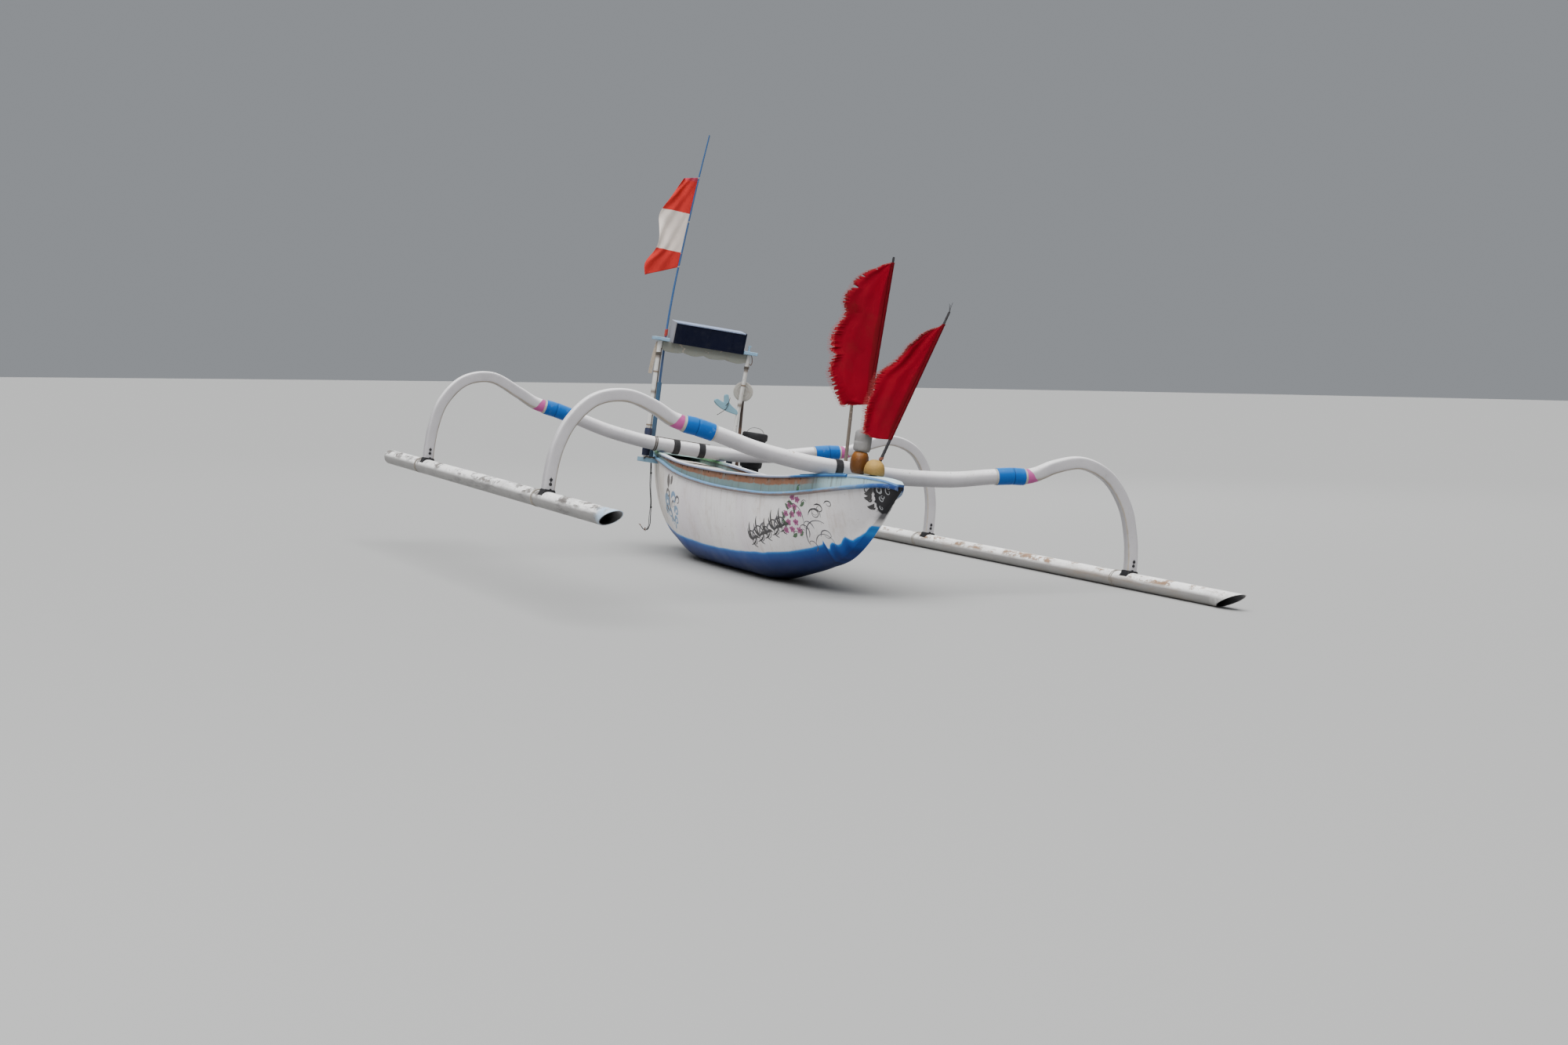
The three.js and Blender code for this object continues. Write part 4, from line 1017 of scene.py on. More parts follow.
# Arms: width, depth, squareness, then off the centreline and height for each corner of the boat
ARM_CORNERS = ("front port", "front starboard", "rear port", "rear starboard")
ARM_ROWS = [
    (86, 95, 2.6, (1258, 949), (1262, 942), (1262, 940), (1262, 937)),
    (76, 88, 4, (1390, 1019), (1390, 999), (1390, 1006), (1390, 993)),
    (74, 84, 5, (1582, 1070), (1579, 1040), (1600, 1075), (1615, 1071)),
    (72, 82, 5, (1787, 1004), (1765, 985), (1800, 1018), (1802, 1015)),
    (71, 80, 5, (1941, 834), (1898, 830), (1937, 840), (1937, 838)),
    (72, 78, 5, (2013, 654), (1960, 654), (1998, 654), (1979, 654)),
    (76, 76, 5, (2046, 494), (1977, 494), (2016, 494), (1985, 494)),
]
BEAM_GIRTH = {"front": (1, 1), "rear": (0.89, 0.96)}
SLEEVE_Y = 1095
SLEEVE_IN, SLEEVE_OUT = 122, 86
RING = 40
RING_ANGLES = (np.arange(RING) + 0.5) * 2 * math.pi / RING
ROPE_SIDES = 8


def beam_line(end, side):
    """One side of a beam with its arm, by arc length: the curve, its length and where the two meet."""
    rows = [
        (y, front if end == "front" else rear, wide, deep, square)
        for y, front, rear, wide, deep, square in BEAM_ROWS
    ]
    corner = ARM_CORNERS.index(f"{end} {side}")
    rows += [(*spots[corner], wide, deep, square) for wide, deep, square, *spots in ARM_ROWS]
    y, z = float_at(side, BEAM_X[end])
    rows.append((y, z + FLOAT_R + FOOT_PAD + SEAT, *rows[-1][2:]))
    run = run_along(np.array(rows, float)[:, :2])
    joint = run[[r[0] for r in rows].index(SLEEVE_Y)]
    return smooth_table([(s, *values) for s, values in zip(run, rows)]), run[-1], joint


LINES = {(end, side): beam_line(end, side) for end in BEAM_X for side in SIDES}


def beam_ring(end, side, s, grow=0.0):
    at, run, _ = LINES[end, side]
    y, z, wide, deep, square = at(s)
    y0, z0 = at(max(s - 2, 0))[:2]
    y1, z1 = at(min(s + 2, run))[:2]
    slope = math.atan2(z1 - z0, y1 - y0) if s < run else -math.pi / 2
    power = 2 / square
    a, b = wide * BEAM_GIRTH[end][0] / 2 + grow, deep * BEAM_GIRTH[end][1] / 2 + grow
    across, up = (
        size * np.sign(part) * np.abs(part) ** power
        for size, part in ((a, np.cos(RING_ANGLES)), (b, np.sin(RING_ANGLES)))
    )
    return np.stack(
        [BEAM_X[end] + across, SIDES[side] * (y - up * math.sin(slope)), z + up * math.cos(slope)], 1
    )


def beam_band(end, side, start, stop, thick, count=6, swell=None):
    """A closed band round the beam line; swell adds to its outside, for each share of its length."""
    at = np.linspace(start, stop, count + 1)
    swell = swell or (lambda t: 0)
    outer = [beam_ring(end, side, s, thick + swell(i / count)) for i, s in enumerate(at)]
    inner = [beam_ring(end, side, s, SEAT) for s in at[::-1]]
    return loft(outer + inner, loop=True)


def beam_marks(run):
    """Marks for a bar's mesh: the run along it, and how near each point is to a lower corner."""
    angles = RING_ANGLES
    corner = np.abs(np.sin(2 * angles)) ** 3 * np.where(np.sin(angles) < 0, 1, 0.25)
    values = np.concatenate([np.repeat(run, RING), [run[0], run[-1]]]) / 1000
    return {"run": values, "corner": np.concatenate([np.tile(corner, len(run)), [0, 0]])}


def pole_paint(name, start=None):
    """White paint on beams and arms, with painted shade on their sides; start is where an arm leaves its
    sleeve, in a cream and a pink band.
    """

    def bands(p, colour):
        # Painted shade: grey on the sides and undersides, white on the tops.
        sides = p.mix(p.noise(7, 5), (0.29, 0.28, 0.295), (0.41, 0.395, 0.41))
        colour = p.mix(p.fall(p.facing_up(), 0.20, 0.72, 0.9), colour, sides)
        wear = p.plus(p.mul(p.mark("corner"), 0.55), p.mul(p.noise(16, 7, 0.7), 0.75))
        colour = p.patch(
            colour, p.mix(p.noise(8, 3), (0.42, 0.36, 0.27), (0.20, 0.17, 0.13)), wear, 0.62, 0.86, 0.8
        )
        if start is None:
            return colour
        run = p.mark("run")
        slant = p.mul(p.facing_up(), 0.026)
        leave = p.minus(run, start)
        pink = p.mul(p.math("LESS_THAN", p.plus(leave, slant), 0.058), p.math("GREATER_THAN", leave, 0.010))
        colour = p.mix(pink, colour, p.mix(p.noise(20, 6), (0.30, 0.05, 0.17), (0.44, 0.09, 0.27)))
        return p.mix(p.math("LESS_THAN", leave, 0.010), colour, (0.36, 0.33, 0.27))

    return aged(
        name, (0.76, 0.745, 0.75), (0.46, 0.40, 0.32), 0.25, dirt=0.3, soil=(0.24, 0.19, 0.13), rough=0.4,
        fleck=0.8, vary=0.1, bump=0.0008, finish=bands,
    )


def sleeve_paint(joint):
    p = Paint("sleeve_paint")
    base = p.mix(p.noise(5, 5), (0.002, 0.065, 0.28), (0.003, 0.095, 0.36))
    # Painted highlight: a lighter blue on the sleeve's upper side.
    colour = p.patch(base, (0.012, 0.19, 0.46), p.facing_up(), 0.3, 1.0, 0.5)
    colour = p.patch(colour, (0.16, 0.28, 0.42), p.noise(18, 8, 0.7), 0.58, 0.72, 0.4)
    seam = p.math("COMPARE", p.mark("run"), joint / 1000)
    seam.node.inputs[2].default_value = 0.0022
    colour = p.mix(p.mul(seam, 0.85), colour, (0.006, 0.03, 0.12))
    height = p.minus(p.noise(50, 4), p.mul(seam, 3.0))
    return p.done(colour, 0.42, p.bump(height, 0.0008), Specular_IOR_Level=0.14)


def add_beams():
    joint = LINES["front", "port"][2]
    pole = pole_paint("beam_paint")
    arm_paint = pole_paint("arm_paint", (joint + SLEEVE_OUT) / 1000)
    sleeve = sleeve_paint(joint)
    rim = aged("sleeve_rim", (0.44, 0.43, 0.38), dirt=0.5, rough=0.55)
    for end in BEAM_X:
        joint = LINES[end, "port"][2]
        half = np.concatenate([np.arange(0, joint - 3, 24), [joint - 2]])
        rings = [beam_ring(end, "starboard", s) for s in half[:0:-1]]
        rings += [beam_ring(end, "port", s) for s in half]
        marks = beam_marks(np.concatenate([half[:0:-1], half]))
        marks["corner"] *= 0.3
        add(f"{end}_cross_beam", loft(rings), pole, "pole_paint", [f"{end}_beam"], marks=marks)
        for side in SIDES:
            run = LINES[end, side][1]
            at = np.concatenate(
                [[joint + 2, joint + SLEEVE_OUT], np.arange(joint + SLEEVE_OUT + 10, run - 8, 13), [run]]
            )
            shape = loft([beam_ring(end, side, s) for s in at])
            add(
                f"{end}_arched_arm_{side}", shape, arm_paint, "pole_paint", [f"{end}_arm_{side}"],
                smooth=60, marks=beam_marks(at),
            )
            start, stop = joint - SLEEVE_IN, joint + SLEEVE_OUT
            middle = SLEEVE_IN / (SLEEVE_IN + SLEEVE_OUT)
            swell = lambda t: 1.4 * math.sin(math.pi * t) - (2.4 if abs(t - middle) < 0.02 else 0)
            shape = beam_band(end, side, start + 8, stop - 7, 6, 26, swell)
            values = np.linspace(start + 8, stop - 7, 27) / 1000
            run_marks = np.repeat(np.concatenate([values, values[::-1]]), RING)
            add(
                f"{end}_blue_sleeve_{side}", shape, sleeve, "sleeve_blue", [f"{end}_sleeve_{side}"],
                marks={"run": run_marks},
            )
            rims = join(
                beam_band(end, side, start - 4, start + 8, 3.5, 3),
                beam_band(end, side, stop - 7, stop + 3, 4, 3),
            )
            add(f"{end}_sleeve_rims_{side}", rims, rim, "pole_paint")


STRAPS = (
    ("front", "starboard", 125), ("front", "port", 110), ("rear", "starboard", 133), ("rear", "port", 74)
)


def add_straps():
    rubber = rubber_paint()
    for end, side, y in STRAPS:
        band = beam_band(end, side, y - 27, y + 23, 3, 14, lambda t: 0.9 * math.sin(7 * math.pi * t) ** 2)
        second = beam_band(
            end, side, y - 19, y + 12, 4.6, 8, lambda t: 0.8 * math.sin(3 * math.pi * t) ** 2
        )
        add(f"strap_{end}_{side}", join(band, second), rubber, "pad_rubber")
    chock = aged("chock_paint", (0.035, 0.10, 0.25), (0.25, 0.2, 0.15), 0.5, dirt=0.4, grain=0.3)
    x, wide = BEAM_X["rear"], 35
    low = HULL_LINES(x - wide)[3] + SEAT
    for side, sign in SIDES.items():
        y = HULL_LINES(x)[1] + RAIL_OUT - RAIL_WIDE / 2
        high = beam_ring("rear", side, y - RAIL_WIDE / 2)[:, 2].min() - SEAT
        block = brick((2 * wide, RAIL_WIDE, high - low), (x, sign * y, (high + low) / 2))
        add(f"rear_chock_{side}", block, chock, "blue_paint", [f"rear_packing_{side}"], bevel=0.8)


def float_shape(side):
    """A pipe with a slanting open front end: its outside, its rim and its bore."""
    stern, tip = FLOATS[side][4:]
    sign = SIDES[side]
    angles = around(PIPE_SIDES)
    unit = np.stack([np.cos(angles) * sign, np.sin(angles)], 1)
    slope = FLOAT_SCARF / (2 * FLOAT_R)

    def ring(x, r, cut=False):
        xs = np.full(PIPE_SIDES, x, float)
        if cut:
            xs = np.minimum(xs, tip - (FLOAT_R - r * unit[:, 1]) * slope + x - tip)
        places = [float_at(side, value) for value in xs]
        middles = np.array([(sign * y, z) for y, z in places])
        return np.column_stack([xs, middles + r * unit])

    rings = [ring(stern, 10), ring(stern, 42), ring(stern + 3, 49), ring(stern + 10, 53)]
    rings += [ring(x, FLOAT_R) for x in np.linspace(stern + 18, tip - FLOAT_SCARF - 2, 90)]
    rings += [ring(tip, FLOAT_R, True)]
    inner = FLOAT_R - FLOAT_WALL
    rings += [ring(tip, inner, True)]
    rings += [ring(x, inner) for x in (tip - FLOAT_SCARF - 4, tip - FLOAT_BORE + 4)]
    rings += [ring(tip - FLOAT_BORE, inner - 6)]
    return loft(rings)


def float_paint(side, under, soil, dirt, bare_tip):
    tip = (FLOATS[side][5] - 330) / 1000

    def ends(p, colour):
        x = p.axis("X")
        upper = p.rise(p.facing_up(), 0.15, 0.55)
        scales = p.noise(6.5, 9, 0.74, stretch=(0.55, 1.3, 1.3), shift=2.7)
        flakes = p.rise(scales, 0.545, 0.57)
        rim = p.ramp(scales, (0.525, 0.0), (0.545, 0.7), (0.57, 0.0))
        bare = p.mix(p.noise(30, 5, 0.7), times(under, 0.55), times(under, 1.35))
        colour = p.mix(p.mul(flakes, upper), colour, bare)
        colour = p.mix(p.mul(rim, upper), colour, times(soil, 0.8))
        # Painted shade: grey on the float's sides and underside.
        side = p.mix(p.noise(6, 6, stretch=(0.5, 2, 2)), (0.15, 0.145, 0.14), (0.27, 0.26, 0.25))
        colour = p.mix(p.fall(p.facing_up(), 0.10, 0.50, 0.9), colour, side)
        colour = p.patch(
            colour, soil, p.noise(5, 8, 0.75, stretch=(0.4, 3, 3), shift=8.1), 0.52, 0.66, dirt
        )
        ahead = p.rise(p.minus(x, tip), 0.0, 0.12)
        colour = p.mix(p.mul(ahead, p.ramp(p.noise(12, 5), (0.38, 0.2), (0.56, 0.95))), colour, bare_tip)
        # Painted shade: the pipe's bore dark grey inside.
        return p.mix(p.math("LESS_THAN", p.mark("out"), 0.5), colour, (0.085, 0.085, 0.088))

    return aged(
        f"float_{side}_paint", (0.90, 0.89, 0.87), dirt=dirt * 0.7, soil=soil, rough=0.42, fleck=0.7,
        vary=0.15, bump=0.0009, finish=ends,
    )


def add_floats():
    paints = {
        "port": float_paint("port", (0.30, 0.19, 0.12), (0.26, 0.19, 0.13), 0.5, (0.62, 0.62, 0.60)),
        "starboard": float_paint(
            "starboard", (0.20, 0.18, 0.165), (0.085, 0.08, 0.078), 0.85, (0.42, 0.56, 0.72)
        ),
    }
    rubber = rubber_paint("pad_rubber")
    rope = rope_paint("float_rope", (0.30, 0.27, 0.23))
    for side, sign in SIDES.items():
        shape = float_shape(side)
        out = np.ones(len(shape[0]))
        out[-BORE_RINGS * PIPE_SIDES - 2 : -2] = 0
        out[-1] = 0
        add(
            f"pipe_float_{side}", shape, paints[side], "float_pipe", [f"float_{side}"], smooth=40,
            marks={"out": out},
        )
        for end, x in BEAM_X.items():
            add(
                f"{end}_foot_{side}", foot_pad(side, x), rubber, "pad_rubber", [f"{end}_foot_pad_{side}"],
                smooth=50,
            )
            loops = join(*[float_loop(side, x - back) for back in LASHINGS_AFT])
            add(f"{end}_float_lashing_{side}", loops, rope, "line_rope", smooth=80)
            y, z = float_at(side, x)
            top = z + FLOAT_R + FOOT_PAD
            bend = ((-84, -6, -7), (-44, -5, 1), (50, -4, 2))
            peg = tube([(x + dx, sign * (y + dy), top + dz) for dx, dy, dz in bend], 5.5, 10)
            wide = 38 * BEAM_GIRTH[end][0]
            bolts = [turned(BOLT_HEAD, (x + wide, sign * y, top + up), (1, 0, 0), 14) for up in (34, 62)]
            nail = tube([(x + wide + 1, sign * y, top + 26), (x + wide + 1, sign * y, top + 76)], 2.2, 8)
            add(f"{end}_foot_peg_{side}", join(peg, nail, *bolts), rubber, "pad_rubber")


def foot_pad(side, x):
    """A rubber saddle between a float and an arm's foot."""
    sign = SIDES[side]
    top = float_at(side, x)[1] + FLOAT_R + FOOT_PAD
    radius, half = FLOAT_R + 0.4, 52
    rings = []
    for t in np.linspace(-1, 1, 13):
        y0, z0 = float_at(side, x + half * t)
        pinch = 1 - 0.14 * abs(t) ** 6
        ring = []
        for angle in np.radians(np.linspace(28, 152, 15)):
            ring.append(
                (x + half * t, sign * (y0 + radius * math.cos(angle)), z0 + radius * math.sin(angle))
            )
        for y, z in (
            (-42, top - 20), (-40, top - 6), (-34, top), (0, top + 0.2),
            (34, top), (40, top - 6), (42, top - 20),
        ):
            ring.append((x + half * t, sign * (y0 + y * pinch), z))
        rings.append(ring)
    return loft(rings)


def float_loop(side, x):
    """One loop of rope round a float, pressed flat where the float lies on the floor."""
    sign = SIDES[side]
    y, z = float_at(side, x)
    path = []
    for a in around(48):
        r = FLOAT_R + 2.4 - 5.4 * max(0, math.cos(a + math.pi / 2 - HEEL)) ** 6
        path.append((x + 9 * math.cos(a), sign * y + r * math.cos(a), z + r * math.sin(a)))
    return tube_loop(path, 2.6, ROPE_SIDES)


def tube_loop(path, radius, sides):
    """A round bar along a path that closes on itself."""
    path = np.asarray(path, float)
    ways = np.roll(path, -1, axis=0) - np.roll(path, 1, axis=0)
    ways /= np.linalg.norm(ways, axis=1)[:, None]
    middle = path.mean(0)
    angles = around(sides)
    rings = []
    for point, along in zip(path, ways):
        out = point - middle
        out -= along * out.dot(along)
        out /= np.linalg.norm(out)
        other = np.cross(along, out)
        rings.append(point + radius * (np.outer(np.cos(angles), out) + np.outer(np.sin(angles), other)))
    return loft(rings, loop=True)


# Posts at the rear beam, and what they carry
POST_X, POST_TOP = -1728, 1545
CROSSBOARD = {"fore": -1697, "aft": -1870, "starboard": -345, "port": 640, "low": 628, "high": 662}
POST_FOOT = CROSSBOARD["high"] + 0.9
BAMBOO_JOINTS = (878, 1158, 1426)
TAPE_LOW, LASHING_TURNS = (902, 1304), (1438, 1444, 1449, 1455)
# Off the centreline at the foot and at the top, radius, and the cap's ends
POSTS = {"starboard": (-329, -351, 21, (-402, -288)), "port": (334, 364, 16, (310, 418))}


def post_at(side, z):
    low, high, _, _ = POSTS[side]
    return np.array([POST_X, low + (high - low) * (z - POST_FOOT) / (POST_TOP - POST_FOOT), z])


def collar(side, start, stop, low, high):
    """A band round a post."""
    return tube(
        [post_at(side, z) for z in (start, start + 1.5, stop - 1.5, stop)], [low, high, high, low], 20
    )


def post_finish(p, colour):
    """Dark at the bamboo's joints."""
    height = p.axis("Z")
    for joint in BAMBOO_JOINTS:
        near = p.math("ABSOLUTE", p.minus(height, joint / 1000))
        colour = p.mix(p.fall(near, 0.004, 0.022, 0.8), colour, (0.10, 0.07, 0.05))
    return colour


def bamboo_swell(z):
    """The share of a post's radius at a height: thick at the joints, with a groove over each."""
    thick = max(math.exp(-(((z - j) / 10) ** 2)) for j in BAMBOO_JOINTS)
    groove = max(math.exp(-(((z - j - 11) / 3) ** 2)) for j in BAMBOO_JOINTS)
    return 0.95 + 0.05 * thick - 0.035 * groove


def block_swell(z):
    """How far the wrapped blocks at a post's foot stand out: ridged where they are bound."""
    return 7 + 1.8 * (0.5 + 0.5 * math.sin(z / 7.5)) * (1 if 690 < z < 860 else 0.4)


def add_posts():
    white = aged(
        "post_paint", (0.66, 0.66, 0.64), (0.40, 0.35, 0.27), 0.4, dirt=0.45, soil=(0.16, 0.13, 0.10),
        streaks=0.6, fleck=0.7, rough=0.45, finish=post_finish,
    )
    navy = aged("clamp_paint", (0.008, 0.018, 0.055), (0.1, 0.1, 0.1), 0.2, dirt=0.2)
    cap_blue = aged(
        "cap_blue", (0.34, 0.50, 0.64), (0.5, 0.5, 0.48), 0.4, dirt=0.3, grain=0.25, finish=board_edges
    )
    rope = rope_paint("post_rope", (0.10, 0.085, 0.07))
    for side, (_, _, radius, (low, high)) in POSTS.items():
        heights = np.linspace(POST_FOOT, POST_TOP, 110)
        bar = tube([post_at(side, z) for z in heights], [radius * bamboo_swell(z) for z in heights], 24)
        add(f"bamboo_post_{side}", bar, white, "pole_paint", [f"post_{side}"], smooth=60)
        heights = np.arange(POST_FOOT + 15, 884, 2.5)
        clamp = tube([post_at(side, z) for z in heights], [radius + block_swell(z) for z in heights], 24)
        add(f"post_blocks_{side}", clamp, navy, "navy_paint", [f"post_clamp_{side}"], smooth=50)
        tape = [collar(side, z0, z0 + 12, radius + 1, radius + 2.2) for z0 in TAPE_LOW]
        brown = aged(f"band_{side}", (0.20, 0.155, 0.12), dirt=0.5)
        add(f"post_bands_{side}", join(*tape), brown, "pole_paint")
        turns = [hoop(post_at(side, z), radius + 2.2, 2.6, 1.6, 28) for z in LASHING_TURNS]
        add(f"post_lashing_{side}", join(*turns), rope, "line_rope", smooth=80)
        board = brick((96, high - low, 24), (POST_X, (low + high) / 2, POST_TOP + 12.9))
        add(f"post_top_{side}", board, cap_blue, "deck_paint", [f"post_cap_{side}"], bevel=3)
    top = POST_TOP + 24.9
    peg = tube([(POST_X + 20, 352, top - 1), (POST_X + 20, 353, top + 46)], [8, 6.5], 12)
    cross = tube([(POST_X + 20, 341, top + 38), (POST_X + 20, 366, top + 40)], 4, 10)
    add("peg_on_port_post", join(peg, cross), cap_blue, "deck_paint", smooth=50)
    bend = ((14, 380, 1546), (16, 388, 1522), (17, 392, 1490), (17, 384, 1470), (17, 374, 1478))
    hook = bent([(POST_X + x, y, z) for x, y, z in bend], 3, 10, 5)
    rust = aged("hook_rust", (0.09, 0.05, 0.035), dirt=0.4, rough=0.8)
    add("hook_on_port_post", hook, rust, "staff_black", smooth=60)
    add_drying_strip()
    add_beam_rope(rope)


def hoop(middle, radius, thick, tilt, count):
    """One turn of rope round a bar, a little out of level."""
    path = [
        middle + (radius * math.cos(a), radius * math.sin(a), tilt * math.sin(a)) for a in around(count)
    ]
    return tube_loop(path, thick, ROPE_SIDES)


def add_drying_strip():
    """A beige board strip that leans on the starboard post's outside."""
    wood = aged(
        "strip_wood", (0.50, 0.44, 0.36), (0.22, 0.17, 0.12), 0.5, dirt=0.5, grain=0.5,
        soil=(0.18, 0.14, 0.1),
    )
    rings = []
    for t in np.linspace(0, 1, 14):
        y, z = -392.0 + 26.0 * t - 5 * math.sin(math.pi * t), 1290.0 + 242.0 * t
        rings.append([(POST_X + x, y + out, z) for x, out in ((2, -14), (7, -14), (7, 14), (2, 14))])
    add("strip_on_starboard_post", loft(rings), wood, "board_paint", bevel=1)
    stick = tube([(POST_X + 20, -322 - 14 * t, 690 + 800 * t) for t in np.linspace(0, 1, 14)], 3.6, 10)
    dark = aged("dark_stick", (0.04, 0.033, 0.03), dirt=0.3)
    add("stick_on_starboard_post", stick, dark, "staff_black", smooth=60)


def add_beam_rope(rope):
    """Rope turns that hold the starboard post to the rear beam, and a run of rope along the beam's top."""
    for k, y in enumerate((300, 286)):
        loops = [tube_loop(beam_ring("rear", "starboard", s, 2.4), 2.6, ROPE_SIDES) for s in (y, y + 5)]
        add(f"beam_lashing_{k + 1}", join(*loops), rope, "line_rope", smooth=80)
    path = []
    for t in np.linspace(0, 1, 30):
        s = 292 - 430 * t
        side = "starboard" if s >= 0 else "port"
        ring = beam_ring("rear", side, abs(s), 3.0)
        point = ring[ring[:, 2].argmax()]
        path.append(point + (4 * math.sin(9 * t), 0, 0.6))
    run = tube(path, 2.8, 10, twist=0.03, lobes=3, lobe=0.15)
    add("rope_along_beam", run, rope, "line_rope", smooth=80)


def board_edges(p, colour):
    low = p.fall(p.facing_up(), 0.3, 0.7, 0.8)
    return p.mix(low, colour, p.mix(p.noise(14, 6), (0.10, 0.22, 0.36), (0.28, 0.44, 0.56)))


def add_scalloped_board():
    low, high = POSTS["starboard"][1] + 23, POSTS["port"][1] - 19
    top, step = POST_TOP - 1, (high - low) / 4
    outline = [(low, top)]
    for i in range(4):
        for t in np.arange(14) / 14:
            drop = 62 + 15 * 4 * t * (1 - t) + 1.5 * math.sin(9 * (i + t))
            outline.append((low + (i + t) * step, top - drop))
    outline += [(high, top - 62), (high, top)]
    grey = aged(
        "scallop_paint", (0.21, 0.26, 0.25), (0.36, 0.32, 0.26), 0.5, dirt=0.5, grain=0.4, streaks=0.4,
        vary=0.2,
    )
    add(
        "valance_board", plate(outline[::-1], 16, POST_X), grey, "board_paint", ["scalloped_board"],
        bevel=1.5,
    )


BOX_WIDE, BOX_DEEP, BOX_TALL, BOX_WALL, BOX_AFT, BOX_PORT = 572, 124, 160, 9, 30, 19
BOX_TIP = math.radians(9)


def add_box():
    """A shallow box, tipped forward: dark face, blue lid, and a pale starboard end."""
    c, s = math.cos(BOX_TIP), math.sin(BOX_TIP)
    turn = np.array([[c, 0, s], [0, 1, 0], [-s, 0, c]])
    base = np.array([POST_X + 8, BOX_PORT, POST_TOP - 0.7])

    def part(size, centre):
        points, faces = brick(size, centre)
        return points @ turn.T + base, faces

    wide, deep, tall, wall = BOX_WIDE, BOX_DEEP, BOX_TALL, BOX_WALL
    front, back = deep / 2 - BOX_AFT, -deep / 2 - BOX_AFT
    shell = join(
        part((deep, wall, tall), (-BOX_AFT, -(wide - wall) / 2, tall / 2)),
        part((wall, wide - 2 * wall, tall - 2 * wall), (back + wall / 2, 0, tall / 2)),
    )
    port_end = part((deep, wall, tall), (-BOX_AFT, (wide - wall) / 2, tall / 2))
    bottom = part((deep, wide - 2 * wall, wall), (-BOX_AFT, 0, wall / 2))
    pale = aged("box_ends", (0.26, 0.27, 0.31), (0.10, 0.10, 0.12), 0.3, dirt=0.5)
    add("box_shell", shell, pale, "box_plastic", ["box"], bevel=1.2)
    lid = part((deep, wide - 2 * wall, wall), (-BOX_AFT, 0, tall - wall / 2))
    blue = aged("box_lid", (0.22, 0.28, 0.42), (0.5, 0.55, 0.6), 0.3, dirt=0.3)
    add("box_top", lid, blue, "box_plastic", bevel=1.2)
    panel = part((5, wide - 2 * wall, tall - 2 * wall), (front - 6, 0, tall / 2))
    rims = [part((5, wide - 2 * wall, 4), (front - 3, 0, h)) for h in (wall + 2, tall - wall - 2)]
    ribs = [part((4, 4, tall - 2 * wall), (front - 3.5, y, tall / 2)) for y in (-186, 0, 186)]
    dark = Paint("box_face")
    sheen = dark.mix(dark.noise(3, 3), (0.003, 0.004, 0.013), (0.006, 0.008, 0.022))
    dust = dark.rise(dark.noise(16, 8, 0.7, shift=2.0), 0.50, 0.72, 0.3)
    face = dark.done(
        dark.mix(dust, sheen, (0.03, 0.03, 0.036)), 0.4, dark.bump(dark.noise(40, 4), 0.0004),
        Specular_IOR_Level=0.08,
    )
    add("box_front_panel", join(port_end, bottom, panel, *rims, *ribs), face, "box_plastic", bevel=0.8)


# Flagpole, repeated from the part's source: y and z
POLE_X, POLE_FOOT, POLE_TIP = POST_X - 57, 662.9, 3127
POLE_LINE = smooth_table([
    (POLE_FOOT, -268), (950, -277), (1240, -286), (1500, -292), (1620, -294),
    (1950, -286), (2222, -268), (2802, -222), (POLE_TIP, -190),
])
WRAP_TURNS, TIE_TURNS = np.arange(1590, 1640, 5), (2112, 2118, 2455, 2461, 2792, 2798)


def pole_at(z):
    return np.array([POLE_X, POLE_LINE(z)[0], z])


def pole_radius(z):
    return 10 - 5 * (z - POLE_FOOT) / (POLE_TIP - POLE_FOOT)


def pole_loop(z, grow, thick):
    r = pole_radius(z) + grow
    path = [pole_at(z + 2 * math.sin(a)) + (r * math.cos(a), r * math.sin(a), 0) for a in around(20)]
    return tube_loop(path, thick, ROPE_SIDES)


def add_flagpole():
    blue = aged(
        "pole_blue", (0.014, 0.085, 0.24), (0.34, 0.32, 0.28), 0.35, dirt=0.3, streaks=0.5, vary=0.25
    )
    teal = aged("socket_paint", (0.03, 0.10, 0.19), (0.3, 0.34, 0.34), 0.45, dirt=0.35, streaks=0.5)
    red = rope_paint("red_wrap", (0.36, 0.045, 0.035))
    heights = np.linspace(POLE_FOOT, POLE_TIP, 110)
    sizes = [pole_radius(z) * (1 + 0.03 * noise.noise(Vector((z / 90, 0, 0)))) for z in heights]
    bar = tube([pole_at(z) for z in heights], sizes, 16)
    add("flagpole_bar", bar, blue, "blue_paint", ["flagpole"], smooth=60)
    lean = (286 - 268) / (1240 - POLE_FOOT)
    outside = [(POLE_X, -268 - lean * (z - POLE_FOOT), z) for z in (POLE_FOOT, 668, 1231, 1236)]
    add(
        "flagpole_tube", tube(outside, [16, 17, 17, 15], 24), teal, "blue_paint", ["pole_socket"], smooth=50
    )
    turns = [pole_loop(z, 2, 3) for z in WRAP_TURNS]
    bend = ((1588, (8, -6, 0)), (1560, (15, -12, 0)), (1532, (16, -16, -4)))
    tail = tube([pole_at(z) + away for z, away in bend], 1.8, 8)
    add("pole_red_wrap", join(*turns, tail), red, "line_rope", smooth=80)
    ties = [pole_loop(z, 1.4, 1.6) for z in TIE_TURNS]
    add("flagpole_ties", join(*ties), rope_paint("tie_rope", (0.46, 0.42, 0.36)), "line_rope", smooth=80)


